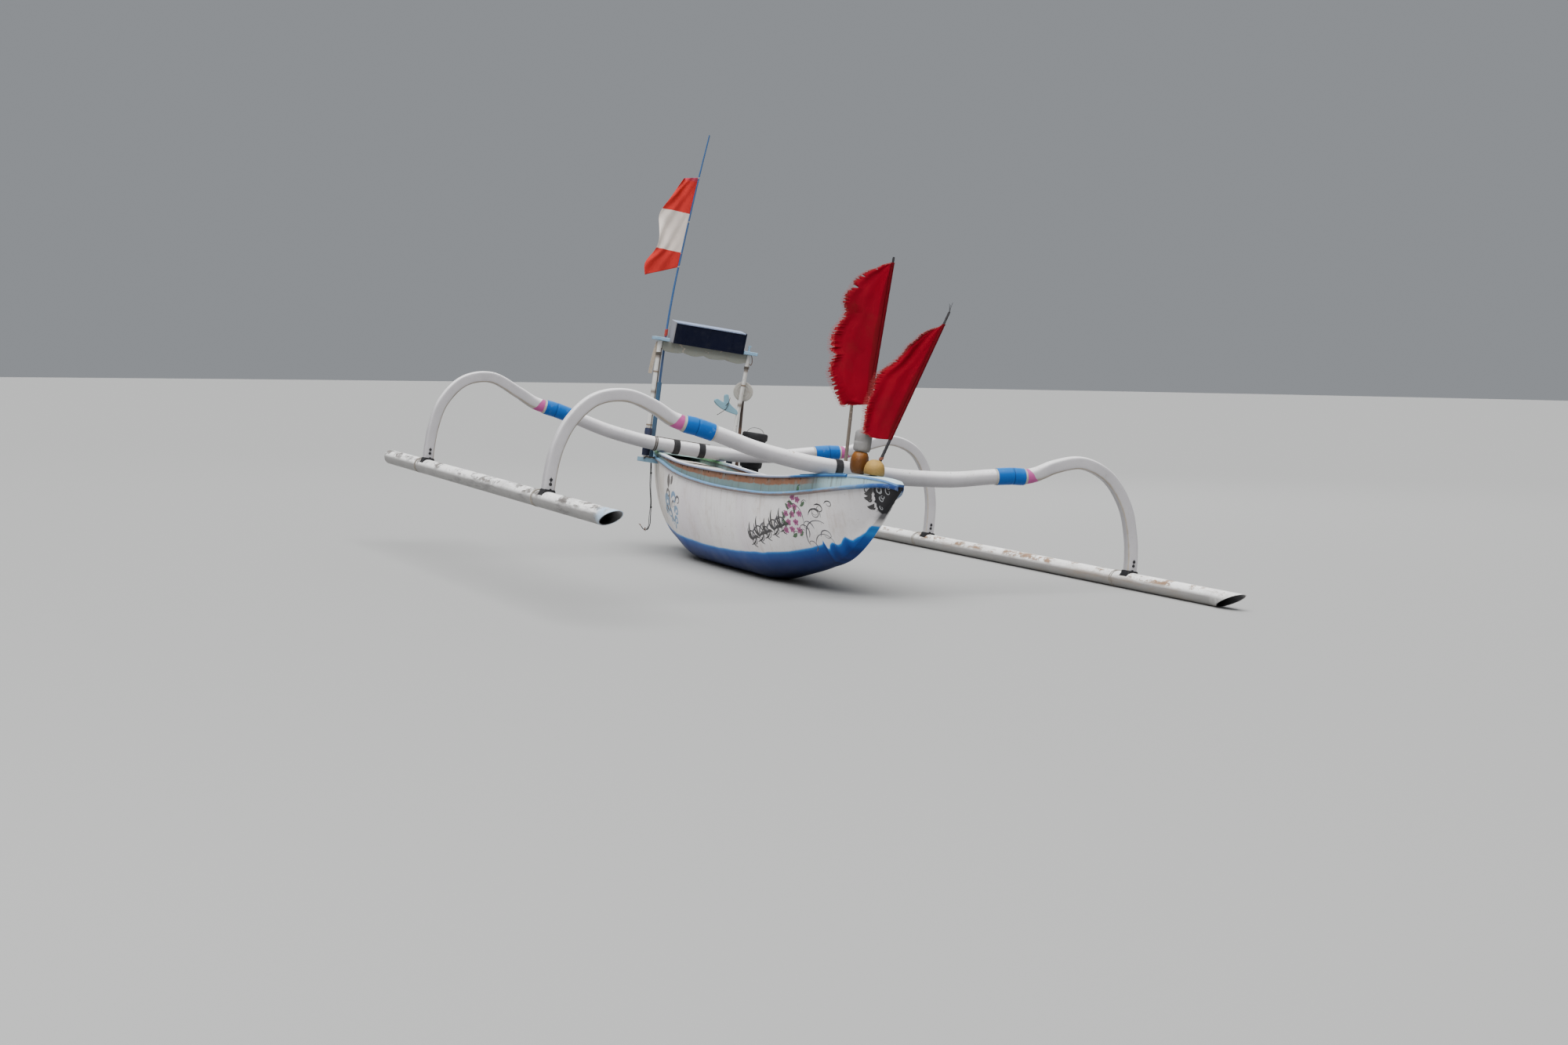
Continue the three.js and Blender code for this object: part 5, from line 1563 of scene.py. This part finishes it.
# Marker staffs: foot, top and radii, in the boat's frame, and how wide the foot's gear is
STAFFS = {
    "staff_1": ((2000, -121), (2000, -101, 2143), (10, 7), 41),
    "staff_2": ((2120, -62), (2120, 275, 1860), (10, 7), 62),
    "staff_3": ((1583, -40), (1583, -86, 1700), (13, 10), 13),
}
BARREL = [(0, 0), (34, 0), (41, 4), (54, 30), (58, 55), (58, 82), (53, 112), (44, 132), (36, 139), (0, 140)]
DRUM = [
    (0, 0), (44, 0), (50, 4), (55, 18), (55, 60), (54.4, 62),
    (55, 64), (55, 112), (51, 126), (44, 132), (0, 132),
]
DOME = [
    (0, 0), (58, 0), (63, 4), (66, 18), (65, 36), (61, 54),
    (54, 70), (44, 83), (30, 92), (16, 96.5), (0, 98),
]


def staff_foot(name):
    (x, y), _, _, wide = STAFFS[name]
    return np.array([x, y, deck_under(x, y, wide) + 0.9])


def staff_at(name, z):
    foot, top = staff_foot(name), np.array(STAFFS[name][1], float)
    return foot + (top - foot) * (z - foot[2]) / (top[2] - foot[2])


def foam_paint(name, base, soil, dirt=0.5, rough=0.6, glaze=None):
    p = Paint(name)
    colour = p.mix(p.noise(9, 6, 0.6), times(base, 0.75), times(base, 1.2))
    if glaze:
        colour = p.patch(colour, glaze, p.noise(5, 3, shift=2.0), 0.42, 0.6, 0.8)
    grime = p.rise(p.noise(16, 8, 0.7, shift=4.0), 0.45, 0.68, dirt)
    # Painted shade: the soil colour on faces turned down, along with the grime.
    low = p.fall(p.facing_up(), 0.15, 0.5, 0.6)
    colour = p.mix(p.math("MAXIMUM", grime, low), colour, soil)
    height = p.plus(p.cells(110), p.noise(30, 5))
    return p.done(colour, rough, p.bump(height, 0.0012))


def add_bow_gear():
    black = rubber_paint("staff_tape", (0.020, 0.019, 0.022))
    bamboo = aged(
        "bamboo", (0.19, 0.155, 0.125), (0.36, 0.30, 0.24), 0.5, dirt=0.5, soil=(0.09, 0.07, 0.055),
        streaks=0.7,
    )
    for name, (_, top, radii, _) in STAFFS.items():
        low = staff_foot(name)[2]
        heights = np.linspace(low, top[2], 140)
        size = np.interp(heights, (low, top[2]), radii)
        if name == "staff_3":
            ring = np.abs(((heights - low) % 190) - 95)
            size = size * (0.93 + 0.10 * np.exp(-(((ring - 95) / 6) ** 2)))
        else:
            rough = np.array([noise.noise(Vector((z / 50, 1, 0))) for z in heights])
            size = size + 0.5 * np.sin(heights / 4.5) + 0.5 * rough
        paint, slot = (bamboo, "bamboo") if name == "staff_3" else (black, "staff_black")
        bar = tube([staff_at(name, z) for z in heights], size, 16)
        add(name + "_pole", bar, paint, slot, [name], smooth=60)
    foot, top = staff_foot("staff_1"), np.array(STAFFS["staff_1"][1], float)
    way = (top - foot) / np.linalg.norm(top - foot)
    orange = foam_paint(
        "orange_float", (0.19, 0.065, 0.009), (0.025, 0.014, 0.008), 0.6, 0.35, (0.33, 0.14, 0.025)
    )
    grey = foam_paint("grey_float", (0.27, 0.27, 0.27), (0.10, 0.09, 0.085), 0.7, 0.75, (0.40, 0.40, 0.39))
    tan = foam_paint("tan_float", (0.36, 0.22, 0.055), (0.13, 0.08, 0.03), 0.4, 0.6, (0.50, 0.34, 0.12))
    add(
        "net_float_orange", turned(BARREL, foot, way, 48), orange, "foam_orange", ["marker_float_orange"],
        smooth=50,
    )
    add(
        "net_float_grey", turned(DRUM, foot + way * 140.4, way, 48), grey, "foam_grey",
        ["marker_float_grey"], smooth=50,
    )
    second = staff_foot("staff_2")
    add("net_float_tan", turned(DOME, second, sides=48), tan, "foam_tan", ["marker_float_tan"], smooth=50)
    heights = foot[2] + np.arange(276, 312, 4.5)
    wraps = [hoop(staff_at("staff_1", z), 12, 2.2, 1.5, 20) for z in heights]
    heights = second[2] + np.arange(102, 118, 4.5)
    wraps += [hoop(staff_at("staff_2", z), 12.5, 2.2, 1.5, 20) for z in heights]
    add("staff_wraps", join(*wraps), rope_paint("wrap_rope", (0.22, 0.08, 0.05)), "line_rope", smooth=80)
    wire = []
    top = np.array(STAFFS["staff_2"][1], float)
    for dx, dy, dz in ((6, 10, 60), (-8, 4, 44), (3, -9, 50)):
        bend = [top - (0, 0, 24), top + (dx * 0.5, dy * 0.4, dz * 0.4), top + (dx, dy, dz)]
        wire.append(bent(bend, 1.3, 8, 5))
    add("staff_2_wires", join(*wire), black, "staff_black", smooth=60)


# Flags
def weave_of(p):
    """The height of woven threads."""
    settings = {"Vector": p.boat(), "Scale": 150.0, "Distortion": 2.0, "Detail": 2.0, "Detail Scale": 1.5}
    down, cross = (p.node("TexWave", settings, "Fac", bands_direction=way) for way in "ZY")
    return p.mul(down, cross)


def flag_paint(name, bands=False):
    p = Paint(name)
    red = p.mix(p.noise(2.6, 4), (0.150, 0.003, 0.009), (0.235, 0.004, 0.013))
    cloth = weave_of(p)
    colour = p.mix(p.mul(cloth, 0.2), red, (0.11, 0.002, 0.004))
    if bands:
        faded = p.mix(p.noise(3, 4), (0.46, 0.022, 0.020), (0.62, 0.045, 0.038))
        white = p.mix(p.noise(4, 6), (0.66, 0.58, 0.52), (0.80, 0.72, 0.65))
        up = p.plus(p.axis("Z"), p.mul(p.axis("Y"), 0.03))
        middle = p.mul(p.math("LESS_THAN", up, 2.512), p.math("GREATER_THAN", up, 2.214))
        colour = p.mix(middle, faded, white)
        colour = p.patch(colour, (0.26, 0.07, 0.14), p.minus(up, 2.75), 0.0, 0.03, 0.7)
    else:
        dark = p.ramp(p.mark("hoist"), (0.0, 0.85), (0.11, 0.5), (0.13, 0.0))
        colour = p.mix(dark, colour, (0.075, 0.003, 0.006))
        fray = p.rise(p.mark("hoist"), 0.90, 1.0, 0.5)
        threads = p.rise(p.noise(150, 4, 0.6, stretch=(1, 1, 0.2)), 0.45, 0.62)
        colour = p.mix(p.mul(fray, threads), colour, (0.60, 0.20, 0.18))
    # Painted shade in the cloth's folds: darker streaks that run down the flag.
    fold_shade = p.fall(p.noise(3.2, 3, 0.6, stretch=(1, 1, 0.4), shift=5.0), 0.42, 0.6, 0.35)
    colour = p.mix(fold_shade, colour, p.mix(0.5, colour, (0.10, 0.01, 0.012)))
    colour = p.patch(
        colour, p.mix(0.5, colour, (0.07, 0.025, 0.02)), p.noise(6, 7, 0.7, shift=3.0), 0.52, 0.75, 0.3
    )
    return p.done(colour, 0.85, p.bump(cloth, 0.0006), Specular_IOR_Level=0.03)


def cloth_grid(hoist, free, rows, columns, wave, tear, place):
    """Cloth from hoist to free edge. hoist(v) and free(v) give (out, z); wave(u, v) moves a point off
    the flag's plane; tear(v) draws the free edge in; place turns (out, off, z) into a point of the boat."""
    points, hoists = [], []
    for j in range(rows + 1):
        v = j / rows
        a, b = np.array(hoist(v)), np.array(free(v))
        for i in range(columns + 1):
            u = i / columns
            out, z = a + (b - a) * (u - tear(v) * u**6)
            points.append(place(out, wave(u, v), z))
            hoists.append(u)
    return (np.array(points), grid_faces(rows, columns)), {"hoist": hoists}


def sheet_area(shape, flat):
    """A cloth's area in square metres, at most that of its cut size and at least 0.32 of it."""
    points, faces = shape
    points = row(points)
    total = sum(
        np.linalg.norm(np.cross(points[c] - points[a], points[d] - points[b])) / 2 for a, b, c, d in faces
    )
    return min(max(total, 0.32 * flat[0] * flat[1]), flat[0] * flat[1])


def line_through(points):
    """A point on a polyline for each share of its length."""
    points = np.array(points, float)
    run = run_along(points)
    shares = run / run[-1]
    return lambda v: (np.interp(v, shares, points[:, 0]), np.interp(v, shares, points[:, 1]))


HOIST_OUT = 9.7
# Cut sizes in metres: the bow flags' width is guessed, and their length is the hoist and its hems
BOW_CUT_WIDE, HEMS = 0.34, 0.02
STERN_CUT = (0.28, 0.72)
STERN_HOIST = (2800, 2110)
# Free edges as (out, height), from the top
BOW_FLAGS = (
    ("bow_flag_1", "staff_1", 30, (2108, 1213), (
        (4, 2108), (48, 2095), (99, 2064), (156, 2037), (206, 1999), (233, 1958),
        (246, 1920), (273, 1879), (280, 1822), (255, 1770), (271, 1718), (304, 1658),
        (316, 1594), (309, 1521), (281, 1482), (292, 1424), (293, 1369), (269, 1316),
        (237, 1259), (204, 1215), (180, 1179), (107, 1192), (35, 1209),
    ), 1.0),
    ("bow_flag_2", "staff_2", 15, (1779, 1017), (
        (4, 1779), (21, 1758), (73, 1733), (112, 1695), (136, 1652), (160, 1609), (170, 1562),
        (186, 1527), (210, 1484), (237, 1448), (264, 1411), (268, 1365), (255, 1303), (254, 1251),
        (248, 1201), (225, 1140), (208, 1079), (192, 1036), (135, 1013), (85, 1011),
    ), 5.0),
)


def add_bow_flags():
    red = flag_paint("flag_red")
    fray = aged("flag_threads", (0.34, 0.05, 0.05), dirt=0.2, rough=0.9, vary=0.4)
    for name, staff, turn, (high, low), edge, seed in BOW_FLAGS:
        turn = math.radians(turn)
        free = line_through(edge)
        hoist = lambda v, high=high, low=low: (HOIST_OUT - 3, high + (low - high) * v)

        def place(out, off, z, staff=staff, turn=turn):
            x, y, _ = staff_at(staff, z)
            c, s = math.cos(turn), math.sin(turn)
            return (x - out * s + off * c, y - out * c - off * s, z)

        def wave(u, v, seed=seed):
            grow = min(1, 4 * v) * min(1, 4 * (1 - v))
            ripple = math.sin(2 * math.pi * (1.1 * u + 1.6 * v) + seed) * 17 * u
            pleat = math.sin(2 * math.pi * (2.6 * u - 0.9 * v) + 2 * seed) * 8 * u
            return (ripple + pleat + 12 * u * noise.noise(Vector((u * 2, v * 6, seed)))) * grow

        def tear(v, seed=seed, staff=staff):
            slits = (0.09, 0.17, 0.24) if staff == "staff_1" else ()
            slit = sum(0.20 * math.exp(-(((v - at) / 0.004) ** 2)) for at in slits)
            coarse, fine = (abs(noise.noise(Vector((v * scale, seed, 3)))) for scale in (48, 190))
            return 0.01 + 0.09 * coarse + 0.16 * fine + slit

        shape, marks = cloth_grid(hoist, free, 260, 36, wave, tear, place)
        piece = add(name + "_cloth", shape, red, "flag_cloth", [name], smooth=180, marks=marks)
        thicken(piece, 1.2)
        fringe = add(name + "_fringe", flag_threads(free, place, wave, seed), fray, "flag_cloth", smooth=80)
        pocket = add(name + "_pocket", flag_pocket(staff, high, low, seed), red, "flag_cloth", smooth=180)
        thicken(pocket, 1.4)
        flat = (BOW_CUT_WIDE, (high - low) / 1000 + HEMS)
        area = sheet_area(shape, flat)


def flag_threads(free, place, wave, seed):
    """Loose threads that stand out of the torn edge."""
    threads = []
    for k in range(150):
        v = (k + 0.5) / 150
        if v > 0.9:
            continue
        out, z = free(v)
        some = noise.noise(Vector((k * 1.7, seed, 0)))
        long = 12 + 26 * abs(noise.noise(Vector((k * 2.3, seed, 5))))
        fall = 0.25 + 0.6 * some - 0.9 * max(0, v - 0.6)
        start = np.array(place(out - 22, wave(0.93, v), z))
        end = np.array(place(out + long * 0.6, wave(1.0, v) + 6 * some, z - long * fall))
        threads.append(tube([start, (start + end) / 2 + (0, 0, 1.5 * some), end], [1.3, 1.1, 0.5], 5))
    return join(*threads)


def flag_pocket(staff, high, low, seed):
    """The sewn sleeve at the hoist, wrapped round its staff."""
    rows, columns = 120, 20
    points = []
    for j in range(rows + 1):
        z = high + (low - high) * j / rows
        x, y, _ = staff_at(staff, z)
        radius = HOIST_OUT + 0.8 + 1.1 * noise.noise(Vector((z / 35, seed, 0)))
        for i in range(columns + 1):
            angle = 2 * math.pi * (0.04 + 0.92 * i / columns)
            points.append((x + radius * math.sin(angle), y - radius * math.cos(angle), z))
    return np.array(points), grid_faces(rows, columns)


def thicken(piece, thick):
    modifier = piece.modifiers.new("thickness", "SOLIDIFY")
    modifier.thickness = thick / 1000
    modifier.offset = 0


def add_stern_flag():
    paint = flag_paint("flag_banded", True)
    edge = [(-334, 2778), (-466, 2528), (-472, 2380), (-475, 2224), (-537, 2098), (-530, 2012)]
    free = line_through(rounded(edge, False, 6))

    def hoist(v):
        z = STERN_HOIST[0] + (STERN_HOIST[1] - STERN_HOIST[0]) * v
        return pole_at(z)[1] - pole_radius(z) + 2, z

    place = lambda out, off, z: (POLE_X + off, out, z)

    def wave(u, v):
        broad = 22 * math.sin(2 * math.pi * (0.9 * u + 2.1 * v))
        return u * (broad + 10 * math.sin(2 * math.pi * (2.1 * u - 3.0 * v)))

    tear = lambda v: 0.012 * abs(noise.noise(Vector((v * 60, 3, 0))))
    shape, marks = cloth_grid(hoist, free, 110, 30, wave, tear, place)
    piece = add("stern_flag_cloth", shape, paint, "flag_cloth", ["stern_flag"], smooth=180, marks=marks)
    thicken(piece, 1.0)
    sheet_area(shape, STERN_CUT)


# Gear on the crossboard, and the crutch on the port post
TUB = [
    (0, 6), (58, 6), (63, 0), (66, 2), (66, 38), (68, 41), (80, 44), (86, 64), (86, 100), (87, 103),
    (86, 106), (86, 200), (87, 203), (86, 206), (86, 252), (95, 257), (98, 262), (98, 296), (97, 300),
    (90, 309), (84, 310), (82, 304), (80, 296), (0, 292),
]
TUB_X, TUB_Y = -1796, 536
REEL = (-1776, 380, 1266)
REEL_HALF = (
    (0, 9), (20, 10), (22, 12), (30, 12), (32, 10), (44, 10),
    (46, 12), (52, 12), (54, 10), (64, 11), (72, 9), (75, 5),
)
FORK = [
    (331.9, 1084), (332.9, 1116), (268, 1160), (248, 1222), (220, 1216), (222, 1162), (164, 1182),
    (148, 1154), (212, 1112),
]


def add_stern_gear():
    board = CROSSBOARD
    size = (board["fore"] - board["aft"], board["port"] - board["starboard"], board["high"] - board["low"])
    ends = (("fore", "aft"), ("port", "starboard"), ("low", "high"))
    centre = [(board[one] + board[other]) / 2 for one, other in ends]
    wood = aged(
        "crossboard_paint", (0.26, 0.35, 0.33), (0.30, 0.25, 0.18), 0.5, dirt=0.5, soil=(0.10, 0.09, 0.06),
        streaks=0.5, vary=0.25, finish=board_edges,
    )
    add("crossboard_plank", brick(size, centre), wood, "strake_paint", ["crossboard"], bevel=3)
    x, z = board["fore"] + 6, board["high"] + 5
    rod = tube([(x, y, z + 1.5 * math.sin(y / 60)) for y in np.linspace(-330, 300, 22)], 5, 10)
    hook = bent([(x, -330, z), (x + 1, -344, z - 3), (x + 1, -348, z - 19)], 4, 10, 5)
    rust = aged("rod_rust", (0.045, 0.035, 0.03), dirt=0.4, rough=0.8)
    add("rod_on_crossboard", join(rod, hook), rust, "staff_black", smooth=60)
    black = rubber_paint("tub_plastic", (0.018, 0.018, 0.020))
    tub = turned(TUB, (TUB_X, TUB_Y, board["high"] + 0.3), sides=56)
    add("gear_tub", tub, black, "staff_black", ["line_tub"], smooth=45)
    bow = ((-90, 262), (-56, 330), (0, 348), (56, 330), (90, 262))
    handle = bent([(TUB_X, TUB_Y + out, board["high"] + up) for out, up in bow], 2.2, 8, 6)
    wire = aged("wire", (0.10, 0.10, 0.10), dirt=0.4)
    add("tub_handle", handle, wire, "staff_black", smooth=60)
    x, y, z = REEL
    disc = [(r, -h) for r, h in REEL_HALF] + list(REEL_HALF[::-1])
    white = aged(
        "reel_white", (0.46, 0.44, 0.40), (0.30, 0.26, 0.2), 0.3, dirt=0.6, soil=(0.10, 0.085, 0.07)
    )
    add("reel_disc", turned(disc, (x, y, z), (1, -0.35, 0), 56), white, "rail_paint", ["reel"], smooth=30)
    heights = np.linspace(board["high"] + 0.9, 1240, 44)
    bend = [(x, 420 - 35 * (h - 663) / 577, h) for h in heights]
    sizes = [13 - 2 * i / 43 + 0.9 * noise.noise(Vector((h / 60, 0, 0))) for i, h in enumerate(heights)]
    stick = aged(
        "reel_stick", (0.11, 0.06, 0.045), (0.26, 0.17, 0.11), 0.4, dirt=0.3, streaks=0.5, vary=0.3,
        finish=stick_finish,
    )
    add("reel_stick", tube(bend, sizes, 16), stick, "staff_black", smooth=60)
    cyan = aged("crutch_paint", (0.18, 0.36, 0.46), (0.5, 0.45, 0.36), 0.4, dirt=0.35)
    add(
        "forked_crutch", plate(rounded(FORK, True, 3), 30, POST_X), cyan, "deck_paint", ["spar_crutch"],
        bevel=4,
    )
    rope = rope_paint("crutch_rope", (0.055, 0.05, 0.045))
    bend = ((17, 262, 1204), (20, 246, 1128), (22, 216, 1092), (21, 176, 1060))
    line = bent([(POST_X + x, y, z) for x, y, z in bend], 2.4, 8, 6)
    turn = [
        (POST_X + 17 * math.cos(a), 244 + 13 * math.sin(a), 1150 + 17 * math.sin(a)) for a in around(24)
    ]
    add("crutch_line", join(line, tube_loop(turn, 2.4, ROPE_SIDES)), rope, "line_rope", smooth=80)


def stick_finish(p, colour):
    """Near black above, red-brown below."""
    low = p.rise(p.axis("Z"), 0.98, 1.10)
    return p.mix(low, colour, p.mix(p.noise(18, 6), (0.03, 0.022, 0.02), (0.07, 0.05, 0.04)))


# The loose line under the crossboard, repeated from the part's source: down from its exit, and out
LINE_EXIT = (-1797, -252, 627.1)
LINE_DIAMETER = 7
KNOT = [(0, 0), (6, 3), (7.5, 9), (6, 15), (0, 18)]
LINE_DROP = ((0, 0), (60, 0), (180, 3), (300, -2), (400, 2), (470, 8), (505, 30), (498, 58), (478, 74))


def catmull(points, steps):
    """The centripetal curve through the points, at even parameter steps."""
    points = np.asarray(points, float)
    full = np.concatenate([[2 * points[0] - points[1]], points, [2 * points[-1] - points[-2]]])
    out = []
    for k in range(len(points) - 1):
        a, b, c, d = full[k : k + 4]
        d0, d1, d2 = (math.sqrt(np.linalg.norm(q - p)) for p, q in ((a, b), (b, c), (c, d)))
        m1 = ((b - a) / d0 - (c - a) / (d0 + d1) + (c - b) / d1) * d1
        m2 = ((c - b) / d1 - (d - b) / (d1 + d2) + (d - c) / d2) * d1
        for t in np.arange(steps) / steps:
            out.append(b + m1 * t + (3 * (c - b) - 2 * m1 - m2) * t**2 + (2 * (b - c) + m1 + m2) * t**3)
    out.append(points[-1])
    return np.array(out)


def add_hanging_line():
    c, s = math.cos(HEEL), math.sin(HEEL)
    points = [
        (LINE_EXIT[0], LINE_EXIT[1] + down * s - out * c, LINE_EXIT[2] - down * c - out * s)
        for down, out in LINE_DROP
    ]
    path = catmull(points, 12)
    paint = rope_paint("dark_rope", (0.022, 0.021, 0.023))
    shape = tube(path, LINE_DIAMETER / 2, 16, twist=0.09, lobes=3, lobe=0.12)
    _, across, up = frames_along(path)
    run = np.linspace(0, 1, len(path))[:, None]
    stop = int(len(path) * 0.86)
    beside = path + across * (5.6 + 10 * np.sin(9 * run) ** 2 * run) + up * 5 * np.sin(13 * run) * run
    strand = tube(beside[:stop], 2.6, 10, twist=0.1, lobes=3, lobe=0.2)
    knots = [turned(KNOT, path[k] - (0, 0, 9), sides=14) for k in (14, 40)]
    frays = []
    for tip, way in ((path[-1], path[-1] - path[-2]), (beside[stop - 1], (0, 1, -6))):
        way = np.array(way, float) / np.linalg.norm(way)
        for k in range(6):
            a = k * 1.05
            spread = ((0, 0, -3), (4, 4, 14), (9, 7, 26))
            hair = [
                tip + way * far + (wide * math.cos(a), deep * math.sin(a), 0) for wide, deep, far in spread
            ]
            frays.append(tube(hair, [1.4, 1.1, 0.6], 6))
    brown = rope_paint("frayed_rope", (0.16, 0.075, 0.045))
    second = add("hanging_line_strand", join(strand, *knots), paint, "line_rope", smooth=80)
    ends = add("hanging_line_ends", join(*frays), brown, "line_rope", smooth=80)
    piece = add("hanging_line", shape, paint, "line_rope", ["stern_line"], smooth=80)
    places = row(path)


# Floor and light
def add_stage():
    bpy.ops.mesh.primitive_circle_add(vertices=96, radius=60, fill_type="NGON")
    floor = bpy.context.object
    floor.name = "floor"
    p = Paint("floor")
    floor.data.materials.append(p.done((0.30, 0.30, 0.295), 0.85))
    world = bpy.data.worlds.new("studio")
    bpy.context.scene.world = world
    world.use_nodes = True
    background = world.node_tree.nodes["Background"]
    background.inputs["Color"].default_value = (0.80, 0.84, 0.90, 1)
    background.inputs["Strength"].default_value = 0.35
    for name, kind, place, aim, power, size in LIGHTS:
        data = bpy.data.lights.new(name, kind)
        data.energy = power
        if kind == "AREA":
            data.shape = "DISK"
            data.size = size
        else:
            data.angle = math.radians(size)
        light = bpy.data.objects.new(name, data)
        light.location = place
        way = Vector(aim) - Vector(place)
        light.rotation_euler = way.to_track_quat("-Z", "Y").to_euler()
        bpy.context.scene.collection.objects.link(light)


LIGHTS = (
    ("sky", "SUN", (2.2, -1.5, 8), (0, 0, 0), 6.8, 70),
    ("front", "SUN", (9, -5, 4), (0, 0, 0), 0.3, 90),
    ("key", "AREA", (12, -8, 7), (0, 0, 0.8), 320, 7),
    ("back", "AREA", (-9, 6, 7), (0, 0, 1), 260, 6),
)


add_camera()
add_hanging_line()
add_hull()
add_ornaments()
add_sides()
add_decks()
add_thwarts()
add_beams()
add_straps()
add_floats()
add_posts()
add_scalloped_board()
add_box()
add_flagpole()
add_bow_gear()
add_bow_flags()
add_stern_flag()
add_stern_gear()
add_stage()
